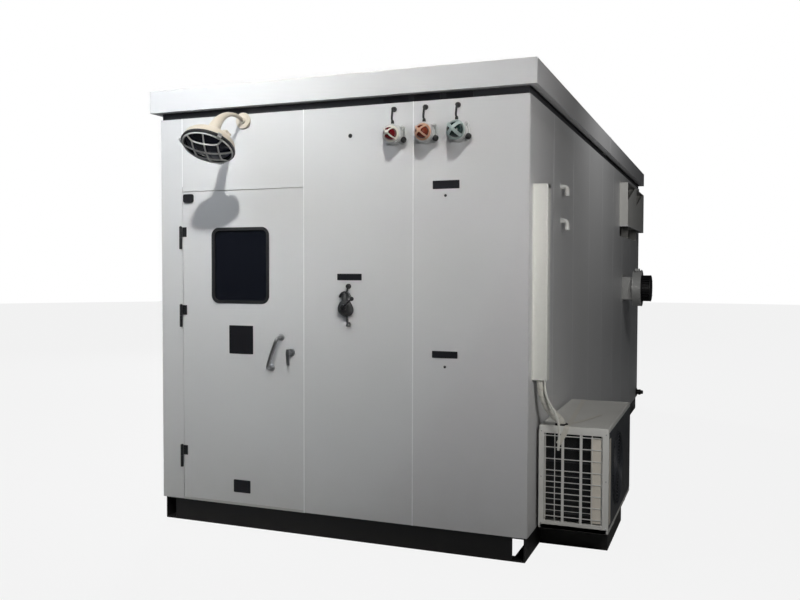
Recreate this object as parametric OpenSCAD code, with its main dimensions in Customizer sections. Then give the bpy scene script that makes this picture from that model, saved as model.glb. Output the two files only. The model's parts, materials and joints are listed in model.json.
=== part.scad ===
// Walk-in equipment shelter: insulated steel-panel room on a skid base, with personnel door, floodlight,
// three beacons, hand switch, split air conditioner, vent hood and exhaust fan.
// Origin: centre of the anchor-bolt pattern, at ground level. Front (door) faces -Y, right side is +X, +Z is up.
// Front features are placed by their distance from the left edge of the front wall (fx), side features by their
// distance behind the front wall (sy), and heights above the bottom edge of the wall panels (wz).

/* [Shell] */
// Width of the wall box
wall_w = 2500; // [2400:10:3000]
// Length of the wall box
wall_l = 6000; // [5950:10:6050]
// Height of the wall panels
wall_h = 2530; // [2500:10:2700]
// Thickness of a wall
wall_t = 75; // [60:5:100]
// Thickness of the sheet-steel skins
skin = 1.5; // [1:0.5:3]
// Gap between neighbouring panels
seam = 3; // [2:1:5]
// Height of the skid base
base_h = 145; // [120:5:160]
// How far the base stands back from the wall face
base_recess = 15; // [5:5:30]
// Height of the dark rail on top of the walls
rail_h = 40; // [30:5:60]
// Height of the roof fascia
fascia_h = 145; // [100:5:180]
// Overhang of the roof on all sides
overhang = 50; // [30:5:80]

/* [Anchors] */
// Spacing of the anchor holes across the base
anchor_x = 2380; // [2300:10:2400]
// Spacing of the anchor holes along the base
anchor_y = 5400; // [5000:50:5800]
// Radius of an anchor hole
anchor_r = 13; // [9:1:16]

/* [Door] */
// Left edge of the door opening
door_x0 = 169; // [150:1:200]
// Right edge of the door opening
door_x1 = 1071; // [1050:1:1090]
// Top of the door opening
door_z1 = 2049; // [2000:1:2100]
// Height of the sill
sill_h = 12; // [8:1:20]
// Thickness of the door leaf
leaf_t = 60; // [50:1:62]
// Radius of a hinge barrel
barrel_r = 10; // [8:1:12]
// Radius of a hinge pin
pin_r = 5; // [4:0.5:6]
// Radial clearance of a pin or shaft in its bore
run_gap = 0.05; // [0.01:0.01:0.1]

/* [Window] */
// Left edge of the window
win_x0 = 403; // [350:1:420]
// Right edge of the window
win_x1 = 816; // [800:1:830]
// Bottom of the window
win_z0 = 1324; // [1300:1:1340]
// Top of the window
win_z1 = 1800; // [1780:1:1850]
// Corner radius of the window
win_r = 45; // [30:1:60]

/* [Floodlight] */
// Place of the floodlight across the front
lamp_x = 640; // [600:5:700]
// Height of the wall flange
lamp_z = 2487; // [2400:1:2490]
// Bend radius of the swan neck
neck_bend = 275; // [250:5:290]
// Upward angle of the neck at the wall
neck_rise = 20; // [10:1:25]
// Tilt of the beam from straight down
lamp_tilt = 28; // [20:1:35]
// Radius of the front ring
lamp_r = 162; // [150:1:165]

/* [Beacons] */
// Centres of the beacons across the front
beacon_x = [1688, 1887, 2086];
// Height of the beacons
beacon_z = 2335; // [2300:5:2350]

/* [Air conditioner] */
// Gap between the outdoor unit and the wall
unit_gap = 20; // [15:5:30]
// Depth of the outdoor unit
unit_d = 405; // [380:5:420]
// Front end of the outdoor unit behind the front wall
unit_y0 = 205; // [200:5:220]
// Length of the outdoor unit
unit_l = 1085; // [1050:5:1100]
// Height of the outdoor unit
unit_h = 610; // [600:5:640]
// Radius of the outdoor unit's fan
unit_fan_r = 215; // [200:5:220]

/* [Vent hood and fan] */
// Near end of the vent hood behind the front wall
hood_y0 = 4085; // [4080:5:4095]
// Length of the vent hood
hood_l = 1610; // [1600:5:1620]
// Depth of the vent hood
hood_d = 83; // [70:1:90]
// Bottom of the vent hood
hood_z0 = 1986; // [1980:1:1990]
// Height of the vent hood
hood_h = 440; // [430:5:450]
// Place of the exhaust fan behind the front wall
fan_y = 4500; // [4490:5:4510]
// Height of the exhaust fan
fan_z = 1353; // [1340:1:1360]
// Radius of the exhaust fan's drum
fan_drum_r = 190; // [180:5:195]

/* [Hidden] */
$fn = 48;

paint = [0.72, 0.72, 0.70];
dark = [0.13, 0.14, 0.16];
black = [0.05, 0.05, 0.06];
cream = [0.80, 0.77, 0.70];
cast = [0.62, 0.63, 0.63];
white = [0.88, 0.89, 0.86];

front = -wall_l / 2;
right = wall_w / 2;
wall_top = base_h + wall_h;
roof_z0 = wall_top + rail_h;
inner_x = right - wall_t;
inner_y = -front - wall_t;
floor_t = 15;
lining_z = 60;
tray_d = 15;
joint_gap = 0.5;
weld = 0.2;

// Places on the front wall, along the side wall, and above the bottom edge of the wall panels
function fx(x) = x - right;
function sy(y) = front + y;
function wz(z) = base_h + z;

// A box between two corners
module block(a, b) {
    translate(a) cube(b - a);
}

// A flat rectangle with rounded corners, between two corners
module round_rect(a, b, r) {
    translate(a + [r, 0]) square([b[0] - a[0] - 2 * r, b[1] - a[1]]);
    translate(a + [0, r]) square([b[0] - a[0], b[1] - a[1] - 2 * r]);
    for (x = [a[0] + r, b[0] - r], y = [a[1] + r, b[1] - r])
        translate([x, y]) circle(r);
}

// Turns an outline drawn in X and Z into a plate from y0 to y1
module front_plate(y0, y1) {
    translate([0, y1, 0]) rotate([90, 0, 0]) linear_extrude(y1 - y0) children();
}

// Turns an outline drawn in Y and Z into a plate from x0 to x1
module side_plate(x0, x1) {
    translate([x0, 0, 0]) rotate([90, 0, 90]) linear_extrude(x1 - x0) children();
}

// A cylinder along X or Y, starting at p
module x_rod(p, r, l) {
    translate(p) rotate([0, 90, 0]) cylinder(r = r, h = l);
}
module y_rod(p, r, l) {
    translate(p) rotate([-90, 0, 0]) cylinder(r = r, h = l);
}

// A smooth tube along hand-chosen points: a Catmull-Rom curve with four steps a span, swept with a round section
function spline_at(p, i, t) =
    let (n = len(p) - 1,
        a = p[max(i - 1, 0)],
        b = p[i],
        c = p[min(i + 1, n)],
        d = p[min(i + 2, n)])
    0.5 * (2 * b + (c - a) * t + (2 * a - 5 * b + 4 * c - d) * t * t + (3 * b - a - 3 * c + d) * t * t * t);
function smooth_path(p, steps) = [
    for (i = [0 : len(p) - 2], k = [0 : steps - 1]) spline_at(p, i, k / steps),
    p[len(p) - 1]];
function unit(v) = v / norm(v);
function tangent(p, i) = unit(p[min(i + 1, len(p) - 1)] - p[max(i - 1, 0)]);
module tube_along(path, r, sides) {
    rings = len(path);
    points = [for (i = [0 : rings - 1], k = [0 : sides - 1])
        let (t = tangent(path, i), u = unit(cross(t, [0, 1, 0])), v = cross(u, t), a = 360 * k / sides)
        path[i] + r * (cos(a) * u + sin(a) * v)];
    sides_faces = [for (i = [0 : rings - 2], k = [0 : sides - 1])
        let (a = i * sides + k, b = i * sides + (k + 1) % sides)
        [a, b, b + sides, a + sides]];
    first = [for (k = [sides - 1 : -1 : 0]) k];
    last = [for (k = [0 : sides - 1]) (rings - 1) * sides + k];
    polyhedron(points = points, faces = concat(sides_faces, [first, last]));
}

// ---------- Base and floor ----------

rail_w = 75;
rail_web = 8;
rail_flange = 10;
base_x = right - base_recess;
base_y = -front - base_recess;
cross_count = 7;
cross_w = 60;
cross_web = 6;
cross_step = 2 * base_y / (cross_count + 1);

// Half the length of a member that fits between the webs of the side rails
cross_half = base_x - rail_w - joint_gap;

// An I section between the side rails, welded from two flanges and a web
module cross_member() {
    for (z = [0, base_h - rail_flange])
        block([-cross_half, -cross_w / 2, z], [cross_half, cross_w / 2, z + rail_flange]);
    block([-cross_half, -cross_web / 2, rail_flange + weld], [cross_half, cross_web / 2, base_h - rail_flange - weld]);
}

// A channel along Y, welded from plates, with its web outwards at x1 and its flanges towards x0
module channel(x0, x1, half_l) {
    web = x1 > x0 ? [x1 - rail_web, x1] : [x1, x1 + rail_web];
    block([web[0], -half_l, rail_flange + weld], [web[1], half_l, base_h - rail_flange - weld]);
    for (z = [0, base_h - rail_flange])
        block([min(x0, x1), -half_l, z], [max(x0, x1), half_l, z + rail_flange]);
}

module base_frame() {
    color(black) {
        difference() {
            for (s = [-1, 1]) channel(s * (base_x - rail_w), s * base_x, base_y);
            for (x = [-1, 1], y = [-1, 1])
                translate([x * anchor_x / 2, y * anchor_y / 2, -1]) cylinder(r = anchor_r, h = rail_flange + 2);
        }
        for (s = [-1, 1]) rotate([0, 0, 90]) channel(s * (base_y - rail_w), s * base_y, cross_half);
        for (i = [1 : cross_count]) translate([0, -base_y + i * cross_step, 0]) cross_member();
    }
}

platform_x1 = right + 395;
platform_y0 = sy(415);
platform_y1 = sy(1085);
platform_top = wz(5);

platform_t = 8;

module condenser_platform() {
    x0 = right - base_recess + joint_gap;
    ym = (platform_y0 + platform_y1) / 2;
    top = wz(0) - 1;
    color(black) {
        // three bearers, an outer plate and the top plate
        for (y = [platform_y0, ym, platform_y1 - platform_t])
            block([x0, y, 0], [platform_x1 - platform_t - weld, y + platform_t, top - weld]);
        block([platform_x1 - platform_t, platform_y0, 0], [platform_x1, platform_y1, top - weld]);
        block([right + 1, platform_y0, top], [platform_x1, platform_y1, platform_top]);
    }
}

module floor_deck() {
    color([0.35, 0.37, 0.38])
        block([-inner_x + 1, -inner_y + 1, base_h], [inner_x - 1, inner_y - 1, base_h + floor_t]);
}

// ---------- Wall panels ----------

// A skin tile is a shallow tray that is open at its back, from [u0, v0] to [u1, v1]; it is drawn facing -Y
// with its face at y = 0
module tray(t) {
    a = [t[0] + seam / 2, 0, t[2] + seam / 2];
    b = [t[1] - seam / 2, tray_d, t[3] - seam / 2];
    difference() {
        block(a, b);
        block(a + [skin, skin, skin], b + [-skin, 1, -skin]);
    }
}

// The insulating core of a tile, bonded to the inner lining
module core(t) {
    edge = seam / 2 + skin + 0.1;
    block([t[0] + edge, skin + 0.1, t[2] + edge], [t[1] - edge, wall_t, t[3] - edge]);
}

// Turns a tile drawn facing -Y onto a wall
module on_front() {
    translate([0, front, base_h]) children();
}
module on_rear() {
    translate([0, -front, base_h]) rotate([0, 0, 180]) children();
}
module on_right() {
    translate([right, 0, base_h]) rotate([0, 0, 90]) children();
}
module on_left() {
    translate([-right, 0, base_h]) rotate([0, 0, -90]) children();
}

front_tiles = [
    [-right, fx(door_x0), 0, wall_h],
    [fx(door_x0), fx(door_x1), door_z1, wall_h],
    [fx(door_x1), fx(1800), 0, wall_h],
    [fx(1800), right, 0, wall_h]];
rear_tiles = [for (i = [0 : 3]) [-right + i * wall_w / 4, -right + (i + 1) * wall_w / 4, 0, wall_h]];
side_edges = [for (i = [0 : 8]) i == 0 ? tray_d + 1 : 693 + (i - 1) * 726, wall_l - tray_d - 1];
side_tiles = [for (i = [0 : len(side_edges) - 2]) [sy(side_edges[i]), sy(side_edges[i + 1]), 0, wall_h]];

// Openings in the right wall: vent under the hood, fan duct, pipe hole
vent_y0 = hood_y0 + 25;
vent_y1 = hood_y0 + hood_l - 25;
vent_z0 = hood_z0 - 97;
vent_z1 = hood_z0 + hood_h - 46;
vent_bar = 30;
duct = 120;
pipe_y = sy(138);
pipe_z = wz(1950);
pipe_hole_r = 34;
bundle_r = 27;

module front_wall_panels() {
    color(paint) on_front() for (t = front_tiles) tray(t);
}

module right_wall_panels() {
    color(paint) difference() {
        on_right() for (t = side_tiles) tray(t);
        block([inner_x, sy(vent_y0), wz(vent_z0)], [right + 1, sy(vent_y1), wz(vent_z1)]);
        block([inner_x, sy(fan_y - duct), wz(fan_z - duct)], [right + 1, sy(fan_y + duct), wz(fan_z + duct)]);
        x_rod([inner_x, pipe_y, pipe_z], pipe_hole_r, 100);
    }
}

module left_wall_panels() {
    color(paint) on_left() mirror([1, 0, 0]) for (t = side_tiles) tray(t);
}

module rear_wall_panels() {
    color(paint) on_rear() for (t = rear_tiles) tray(t);
}

right_regions = [
    [sy(side_edges[0]), sy(vent_y0), 0, wall_h],
    [sy(vent_y1), sy(side_edges[9]), 0, wall_h],
    [sy(vent_y0), sy(vent_y1), vent_z1, wall_h],
    [sy(vent_y0), sy(fan_y - duct), 0, vent_z0],
    [sy(fan_y + duct), sy(vent_y1), 0, vent_z0],
    [sy(fan_y - duct), sy(fan_y + duct), 0, fan_z - duct],
    [sy(fan_y - duct), sy(fan_y + duct), fan_z + duct, vent_z0],
    [sy(hood_y0 + hood_l / 2 - vent_bar), sy(hood_y0 + hood_l / 2 + vent_bar), vent_z0, vent_z1]];
front_regions = [
    [-right + wall_t, fx(door_x0) - 30, 0, wall_h],
    [fx(door_x0) - 30, fx(door_x1) + 30, door_z1 + 30, wall_h],
    [fx(door_x1) + 30, right - wall_t, 0, wall_h]];

// The parts of some regions of a wall that lie behind each tile
function behind(regions, tiles) = [
    for (r = regions, t = tiles)
        let (a = max(r[0], t[0]), b = min(r[1], t[1]))
        if (b - a > 20) [a, b, r[2], r[3]]];
right_cores = behind(right_regions, side_tiles);
front_cores = behind(front_regions, front_tiles);
rear_cores = behind([[-right + wall_t, right - wall_t, 0, wall_h]], rear_tiles);

module inner_wall_panels() {
    color(white) {
        on_front() for (t = front_cores) core(t);
        on_rear() for (t = rear_cores) core(t);
        on_left() mirror([1, 0, 0]) for (t = side_tiles) core(t);
        difference() {
            on_right() for (t = right_cores) core(t);
            x_rod([inner_x - 1, pipe_y, pipe_z], pipe_hole_r, 100);
        }
    }
}

module ceiling_panel() {
    color(white) block([-inner_x + 1, -inner_y + 1, wall_top - lining_z], [inner_x - 1, inner_y - 1, wall_top]);
}

module top_rail() {
    rail_in = 10;
    rail_x = right - rail_in;
    rail_y = -front - rail_in;
    w = 25;
    color(dark) {
        for (s = [-1, 1]) {
            block([-rail_x, min(s * rail_y, s * (rail_y - w)), wall_top],
                [rail_x, max(s * rail_y, s * (rail_y - w)), roof_z0]);
            block([min(s * rail_x, s * (rail_x - w)), -rail_y + w + joint_gap, wall_top],
                [max(s * rail_x, s * (rail_x - w)), rail_y - w - joint_gap, roof_z0]);
        }
    }
}

roof_x = right + overhang;
roof_y = -front + overhang;
roof_lip = 70;
roof_t = 2;

// Half of the roof from y0, where it meets the other half, to its outer end at y1: top, fascias and bottom lips
module roof_half(y0, y1) {
    z1 = roof_z0 + fascia_h;
    s = sign(y1);
    a = min(y0, y1);
    b = max(y0, y1);
    end = y1 - s * roof_t;
    lip = y1 - s * roof_lip;
    block([-roof_x, a, z1 - roof_t], [roof_x, b, z1]);
    block([-roof_x, min(end, y1), roof_z0], [roof_x, max(end, y1), z1 - roof_t - weld]);
    block([-roof_x + roof_t + weld, min(lip, end - s * weld), roof_z0],
        [roof_x - roof_t - weld, max(lip, end - s * weld), roof_z0 + roof_t]);
    for (x = [-1, 1]) {
        block([min(x * roof_x, x * (roof_x - roof_t)), min(y0, end - s * weld), roof_z0],
            [max(x * roof_x, x * (roof_x - roof_t)), max(y0, end - s * weld), z1 - roof_t - weld]);
        block([min(x * (roof_x - roof_t - weld), x * (roof_x - roof_lip)), min(y0, lip - s * weld), roof_z0],
            [max(x * (roof_x - roof_t - weld), x * (roof_x - roof_lip)), max(y0, lip - s * weld), roof_z0 + roof_t]);
    }
}

module roof_caps() {
    color(paint) {
        roof_half(-seam / 2, -roof_y);
        roof_half(seam / 2, roof_y);
    }
}

// ---------- Door ----------

leaf_x0 = fx(door_x0) + 3;
leaf_x1 = fx(door_x1) - 4;
leaf_z0 = wz(sill_h) + 3;
leaf_z1 = wz(door_z1) - 3;
leaf_back = front + leaf_t;
seal_face = leaf_back + 0.3;
stop_y = leaf_back + 3;
stop_w = 20;
hinge_x = fx(160);
hinge_y = front - barrel_r - 0.5;
hinge_heights = [293, 1229, 1745];
barrel_h = 75;
bar_z = wz(1012);

module door_frame() {
    x0 = fx(door_x0);
    x1 = fx(door_x1);
    z0 = wz(sill_h);
    z1 = wz(door_z1);
    y0 = front + tray_d + 0.5;
    y1 = -inner_y;
    color([0.6, 0.6, 0.58]) {
        // jambs with their stops
        for (s = [[x0 - 29, x0, x0, x0 + stop_w], [x1, x1 + 29, x1 - stop_w, x1]]) {
            block([s[0], y0, z0 + joint_gap], [s[1], y1, z1 + 29]);
            block([s[2], stop_y, z0 + stop_w + joint_gap], [s[3], y1, z1 - stop_w - joint_gap]);
        }
        // head with its stop
        block([x0 + joint_gap, y0, z1], [x1 - joint_gap, y1, z1 + 29]);
        block([x0 + joint_gap, stop_y, z1 - stop_w], [x1 - joint_gap, y1, z1]);
        // sill with its stop
        block([x0 + joint_gap, front, base_h], [x1 - joint_gap, y0, z0]);
        block([x0 - 29, y0, base_h], [x1 + 29, y1, z0]);
        block([x0 + joint_gap, stop_y, z0], [x1 - joint_gap, y1, z0 + stop_w]);
    }
}

module door_seal() {
    w = 14;
    x0 = fx(door_x0) + 4;
    x1 = fx(door_x1) - 4;
    z0 = wz(sill_h) + 4;
    z1 = wz(door_z1) - 4;
    color(black) {
        for (x = [x0, x1 - w]) block([x, seal_face, z0], [x + w, stop_y, z1]);
        for (z = [z0, z1 - w]) block([x0 + w + joint_gap, seal_face, z], [x1 - w - joint_gap, stop_y, z + w]);
    }
}

module hinge_frame_leaves() {
    color(black) for (z = hinge_heights) {
        translate([hinge_x, hinge_y, wz(z) - barrel_h]) {
            cylinder(r = barrel_r, h = barrel_h - 0.5);
            cylinder(r = pin_r, h = 2 * barrel_h - 12);
        }
        block([hinge_x - 16, front - 3.5, wz(z) - barrel_h + 5], [hinge_x, front - 0.01, wz(z) - 6]);
    }
}

module hinge_door_leaves() {
    color(black) for (z = hinge_heights) difference() {
        union() {
            translate([hinge_x, hinge_y, wz(z) + 0.5]) cylinder(r = barrel_r, h = barrel_h - 0.5);
            block([hinge_x, front - 3.5, wz(z) + 6], [hinge_x + 32, front - 0.01, wz(z) + barrel_h - 5]);
        }
        translate([hinge_x, hinge_y, wz(z) - 1]) cylinder(r = pin_r + run_gap, h = barrel_h - 8);
    }
}

// The window's outline, larger by a margin
module window_outline(m) {
    round_rect([fx(win_x0) - m, wz(win_z0) - m], [fx(win_x1) + m, wz(win_z1) + m], win_r + m);
}

gasket_in = 12;
lever_x = fx(984);
spindle_r = 7;

module door_leaf() {
    color(paint) difference() {
        block([leaf_x0, front, leaf_z0], [leaf_x1, leaf_back, leaf_z1]);
        block([leaf_x0 + skin, front + skin, leaf_z0 + skin], [leaf_x1 - skin, leaf_back + 1, leaf_z1 - skin]);
        front_plate(front - 1, front + skin + 1) window_outline(0);
        y_rod([lever_x, front - 1, bar_z], 12, skin + 2);
    }
}

module door_inner_panel() {
    m = skin + 0.1;
    color(white) difference() {
        block([leaf_x0 + m, front + m, leaf_z0 + m], [leaf_x1 - m, leaf_back, leaf_z1 - m]);
        front_plate(front, leaf_back + 1) window_outline(0);
        y_rod([lever_x, front, bar_z], 12, leaf_t + 1);
    }
}

module window_gasket() {
    color(black) difference() {
        union() {
            front_plate(front - 3, leaf_back + 3) window_outline(-0.1);
            front_plate(front - 3, front - 0.05) window_outline(8);
            front_plate(leaf_back + 0.05, leaf_back + 3) window_outline(8);
        }
        front_plate(front - 4, leaf_back + 4) window_outline(-gasket_in);
        front_plate(front + 8, front + 32.1) window_outline(-3);
    }
}

module window_glass() {
    color([0.08, 0.1, 0.13, 0.6]) front_plate(front + 8.1, front + 32) window_outline(-3.1);
}

handle_top = [fx(912), wz(1107)];
handle_bottom = [fx(842), wz(911)];
handle_off = 62;
handle_r = 11;

module pull_handle() {
    d = handle_top - handle_bottom;
    l = norm(d);
    color([0.55, 0.57, 0.58]) translate([handle_bottom[0], front, handle_bottom[1]])
        rotate([0, atan2(d[0], d[1]), 0]) {
            for (z = [0, l]) translate([0, 0, z]) rotate([90, 0, 0]) {
                cylinder(r = 22, h = 6);
                cylinder(r = 13, h = handle_off - 22);
            }
            translate([0, -handle_off, 22]) cylinder(r = handle_r, h = l - 44);
            // quarter bends from the posts to the grip
            translate([0, -handle_off + 22, 22]) rotate([0, 90, 0]) rotate([0, 0, -90])
                rotate_extrude(angle = 90) translate([22, 0]) circle(handle_r);
            translate([0, -handle_off + 22, l - 22]) rotate([0, 90, 0]) rotate([0, 0, 180])
                rotate_extrude(angle = 90) translate([22, 0]) circle(handle_r);
        }
}

module door_plates() {
    color(black) {
        front_plate(front - 12, front - 0.05) round_rect([fx(181), wz(1977)], [fx(257), wz(2031)], 12);
        front_plate(front - 2, front - 0.05) round_rect([fx(527), wz(990)], [fx(705), wz(1174)], 3);
        front_plate(front - 3, front - 0.05) round_rect([fx(556), wz(84)], [fx(681), wz(167)], 3);
    }
}

rail_x0 = fx(250);
rail_x1 = fx(950);
case_x1 = fx(1040);

module exit_device_case() {
    y0 = leaf_back + 0.05;
    color([0.6, 0.61, 0.62]) {
        // channel that the push pad sits in
        difference() {
            block([rail_x0, y0, bar_z - 30], [rail_x1, y0 + 35, bar_z + 30]);
            block([rail_x0 + 40, y0 + 3, bar_z - 26], [rail_x1 - 20, y0 + 36, bar_z + 26]);
        }
        // latch case with a bore for the lever's spindle
        difference() {
            block([rail_x1 + joint_gap, y0, bar_z - 75], [case_x1, y0 + 45, bar_z + 75]);
            y_rod([lever_x, y0 - 1, bar_z], spindle_r + run_gap, 31);
        }
        // outside rose with a bore for the spindle
        difference() {
            y_rod([lever_x, front - 9, bar_z], 24, 8.95);
            y_rod([lever_x, front - 10, bar_z], spindle_r + run_gap, 11);
        }
    }
}

module lever_handle() {
    color([0.35, 0.36, 0.37]) {
        y_rod([lever_x, front - 52, bar_z], spindle_r, 52 + leaf_t + 25);
        y_rod([lever_x, front - 52, bar_z], 14, 38);
        front_plate(front - 56, front - 42) round_rect([lever_x - 9, bar_z - 76], [lever_x + 9, bar_z + 26], 8);
    }
}

module panic_bar() {
    y0 = leaf_back + 15;
    color([0.75, 0.75, 0.74]) difference() {
        block([rail_x0 + 50, y0, bar_z - 24], [rail_x1 - 30, y0 + 32, bar_z + 24]);
        block([rail_x0 + 54, y0 - 1, bar_z - 21], [rail_x1 - 34, y0 + 29, bar_z + 21]);
    }
}

// ---------- Floodlight ----------

neck_r = 17;
neck_start = [front - 12, wz(lamp_z + 3)];
neck_end_angle = 90 - lamp_tilt;
neck_centre = neck_start + neck_bend * [-sin(neck_rise), -cos(neck_rise)];
neck_top_angle = 90 - neck_rise;
neck_turn = neck_rise + neck_end_angle;
bell = neck_centre + neck_bend * [cos(neck_top_angle + neck_turn), sin(neck_top_angle + neck_turn)];
bell_l = 112;

// Puts a shape drawn with its beam along +Z at the lamp
module on_lamp() {
    translate([fx(lamp_x), bell[0], bell[1]]) rotate([180 - lamp_tilt, 0, 0]) children();
}

module lamp_bracket() {
    color(cream) translate([fx(lamp_x), 0, 0]) {
        difference() {
            y_rod([0, front - 12, wz(lamp_z)], 52, 11.95);
            for (a = [45 : 90 : 315])
                y_rod([38 * cos(a), front - 13, wz(lamp_z) + 38 * sin(a)], 4, 14);
        }
        translate([0, neck_centre[0], neck_centre[1]]) rotate([90, 0, 90]) rotate([0, 0, neck_top_angle - 1])
            rotate_extrude(angle = neck_turn + 1, $fn = 96) translate([neck_bend, 0]) circle(neck_r);
    }
}

// Points on a circular arc that crowns a disc: radius r at height z, rising by sag at the centre
function crown(r, z, sag, n) =
    let (big = (r * r + sag * sag) / (2 * sag), half = asin(r / big))
    [for (i = [0 : n]) [big * sin(half * (1 - i / n)), z + big * (cos(half * (1 - i / n)) - cos(half))]];

module lamp_housing() {
    color(cream) on_lamp() {
        rotate_extrude($fn = 64) polygon([[0, 0.05], [34, 0.05], [40, 8], [48, 24], [74, 38], [112, 52],
            [140, 68], [lamp_r, 76], [lamp_r, 104], [lamp_r - 6, bell_l - 4], [lamp_r - 20, bell_l - 4],
            [lamp_r - 20, 80], [120, 66], [90, 52], [52, 44], [0, 44]]);
        // wiring box on the shoulder
        translate([70, -22, 38]) cube([44, 44, 30]);
    }
}

module lamp_lens() {
    outer = crown(lamp_r - 21, bell_l - 8, 34, 10);
    inner = crown(lamp_r - 21, bell_l - 14, 34, 10);
    color([0.1, 0.12, 0.2, 0.6]) on_lamp() rotate_extrude($fn = 64)
        polygon(concat([[lamp_r - 21, bell_l - 14]], outer, [for (i = [10 : -1 : 0]) inner[i]]));
}

guard_wire = 7;
guard_sag = 48;
guard_r = 150;

// A bowed bar of square section across the lens, beside the beam axis
module guard_bar(beside, drop) {
    half = sqrt(guard_r * guard_r - beside * beside);
    big = (guard_r * guard_r + guard_sag * guard_sag) / (2 * guard_sag);
    arc = asin(half / big);
    translate([0, beside + guard_wire / 2, bell_l + guard_sag - big]) rotate([90, 0, 0]) rotate([0, 0, 90 - arc])
        rotate_extrude(angle = 2 * arc, $fn = 96)
            translate([big - guard_wire / 2 - drop, 0]) square([guard_wire, guard_wire]);
}

module lamp_guard() {
    color(white) on_lamp() {
        translate([0, 0, bell_l - 3.9]) difference() {
            cylinder(r = guard_r + 5, h = 9);
            translate([0, 0, -1]) cylinder(r = guard_r - 5, h = 11);
        }
        for (turn = [0, 90], k = [-1, 0, 1])
            rotate([0, 0, turn]) guard_bar(k * 72, turn > 0 ? 1 : 0);
    }
}

module lamp_module() {
    color([0.9, 0.88, 0.8]) on_lamp() {
        translate([0, 0, 44.1]) cylinder(r = 46, h = 12);
        translate([0, 0, 56]) cylinder(r = 24, h = 30);
    }
}

// ---------- Beacons ----------

beacon_plate = 12;

// Puts a shape drawn with +Z pointing out of the front wall at a place on it
module on_wall(x, z) {
    translate([fx(x), front, wz(z)]) rotate([90, 0, 0]) children();
}

module beacon_bodies() {
    color(cast) for (x = beacon_x) on_wall(x, beacon_z) {
        difference() {
            union() {
                translate([0, 0, 0.05]) cylinder(r = 62, h = beacon_plate);
                for (a = [45, 135, 225, 315]) rotate([0, 0, a]) translate([64, 0, 0.05]) cylinder(r = 13, h = 10);
            }
            for (a = [45, 135, 225, 315]) rotate([0, 0, a]) translate([68, 0, -1]) cylinder(r = 4, h = 14);
        }
        translate([0, 0, beacon_plate]) cylinder(r = 52, h = 40);
        translate([0, 0, 50]) cylinder(r = 60, h = 9);
        translate([0, 0, 59]) cylinder(r = 54, h = 7);
        translate([0, 0, 66]) cylinder(r = 58, h = 8);
        // entry bosses: cable at the top, plugged spare at the lower right
        translate([-8, 50, 30]) rotate([-90, 0, 0]) cylinder(r = 12, h = 14);
        rotate([0, 0, -28]) translate([50, 0, 30]) rotate([0, 90, 0]) cylinder(r = 14, h = 10);
    }
}

module beacon_lens(i) {
    dome = crown(44, 104, 34, 10);
    on_wall(beacon_x[i], beacon_z) rotate_extrude()
        polygon(concat([[0, 74.1], [44, 74.1]], dome));
}

module beacon_lens_red() {
    color([0.6, 0.03, 0.04]) beacon_lens(0);
}
module beacon_lens_amber() {
    color([0.75, 0.25, 0.08]) beacon_lens(1);
}
module beacon_lens_green() {
    color([0.15, 0.35, 0.3]) beacon_lens(2);
}

// The outline of a bowed strap that stands on the guard ring: two legs and a half circle, at radius r
module bow_outline(r) {
    translate([-r, 0]) square([2 * r, 16]);
    translate([0, 16]) intersection() {
        circle(r);
        translate([-r, -1]) square([2 * r, r + 2]);
    }
}

module beacon_guards() {
    color(cast) for (x = beacon_x) on_wall(x, beacon_z) {
        translate([0, 0, 74.1]) difference() {
            cylinder(r = 57, h = 6);
            translate([0, 0, -1]) cylinder(r = 45.2, h = 8);
        }
        for (a = [45, 135]) rotate([0, 0, a]) translate([0, 4.5, 79]) rotate([90, 0, 0]) linear_extrude(9)
            difference() {
                bow_outline(55.5);
                translate([0, -1]) bow_outline(46.5);
            }
        translate([0, 0, 138]) cylinder(r = 13, h = 14);
    }
}

module beacon_cables() {
    color(black) for (x = beacon_x) {
        on_wall(x - 8, 2490) {
            translate([0, 0, 0.05]) cylinder(r = 15, h = 18);
            translate([0, 0, 18]) cylinder(r1 = 15, r2 = 9, h = 10);
        }
        // cable from the wall gland down into the beacon
        x1 = fx(x - 8);
        zb = wz(beacon_z) + 64.1;
        translate([x1, front - 22, wz(2490)]) rotate([180, 0, 0]) cylinder(r = 6, h = 62);
        translate([x1, front - 28, wz(2430)]) rotate([180, 0, 0]) cylinder(r = 9, h = wz(2430) - zb);
        // plug in the spare entry
        on_wall(x, beacon_z) rotate([0, 0, -28]) translate([60.1, 0, 30]) rotate([0, 90, 0]) {
            cylinder(r = 15, h = 14);
            cylinder(r = 11, h = 24);
        }
    }
}

// ---------- Hand switch and plates on the front wall ----------

switch_x = 1366;
switch_z = 1307;

module switch_body() {
    color(cast) {
        on_wall(switch_x, switch_z) {
            translate([0, 0, 0.05]) cylinder(r = 46, h = 8);
            difference() {
                union() {
                    translate([0, 0, 8]) cylinder(r1 = 44, r2 = 36, h = 30);
                    translate([0, 0, 38]) cylinder(r = 24, h = 12);
                }
                translate([0, 0, 20]) cylinder(r = 8 + run_gap, h = 31);
            }
        }
        // hood above the body, entry boss and foot boss below
        on_wall(switch_x - 4, switch_z + 58) translate([0, 0, 0.05]) cylinder(r = 28, h = 26);
        translate([fx(switch_x - 4), front - 22, wz(switch_z + 30)]) cylinder(r = 20, h = 30);
        translate([fx(switch_x + 14), front - 18, wz(switch_z - 100)]) cylinder(r = 9, h = 70);
        translate([fx(switch_x + 14), front - 18, wz(switch_z - 108)]) cylinder(r = 15, h = 20);
    }
}

lever_angle = 40;

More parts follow.
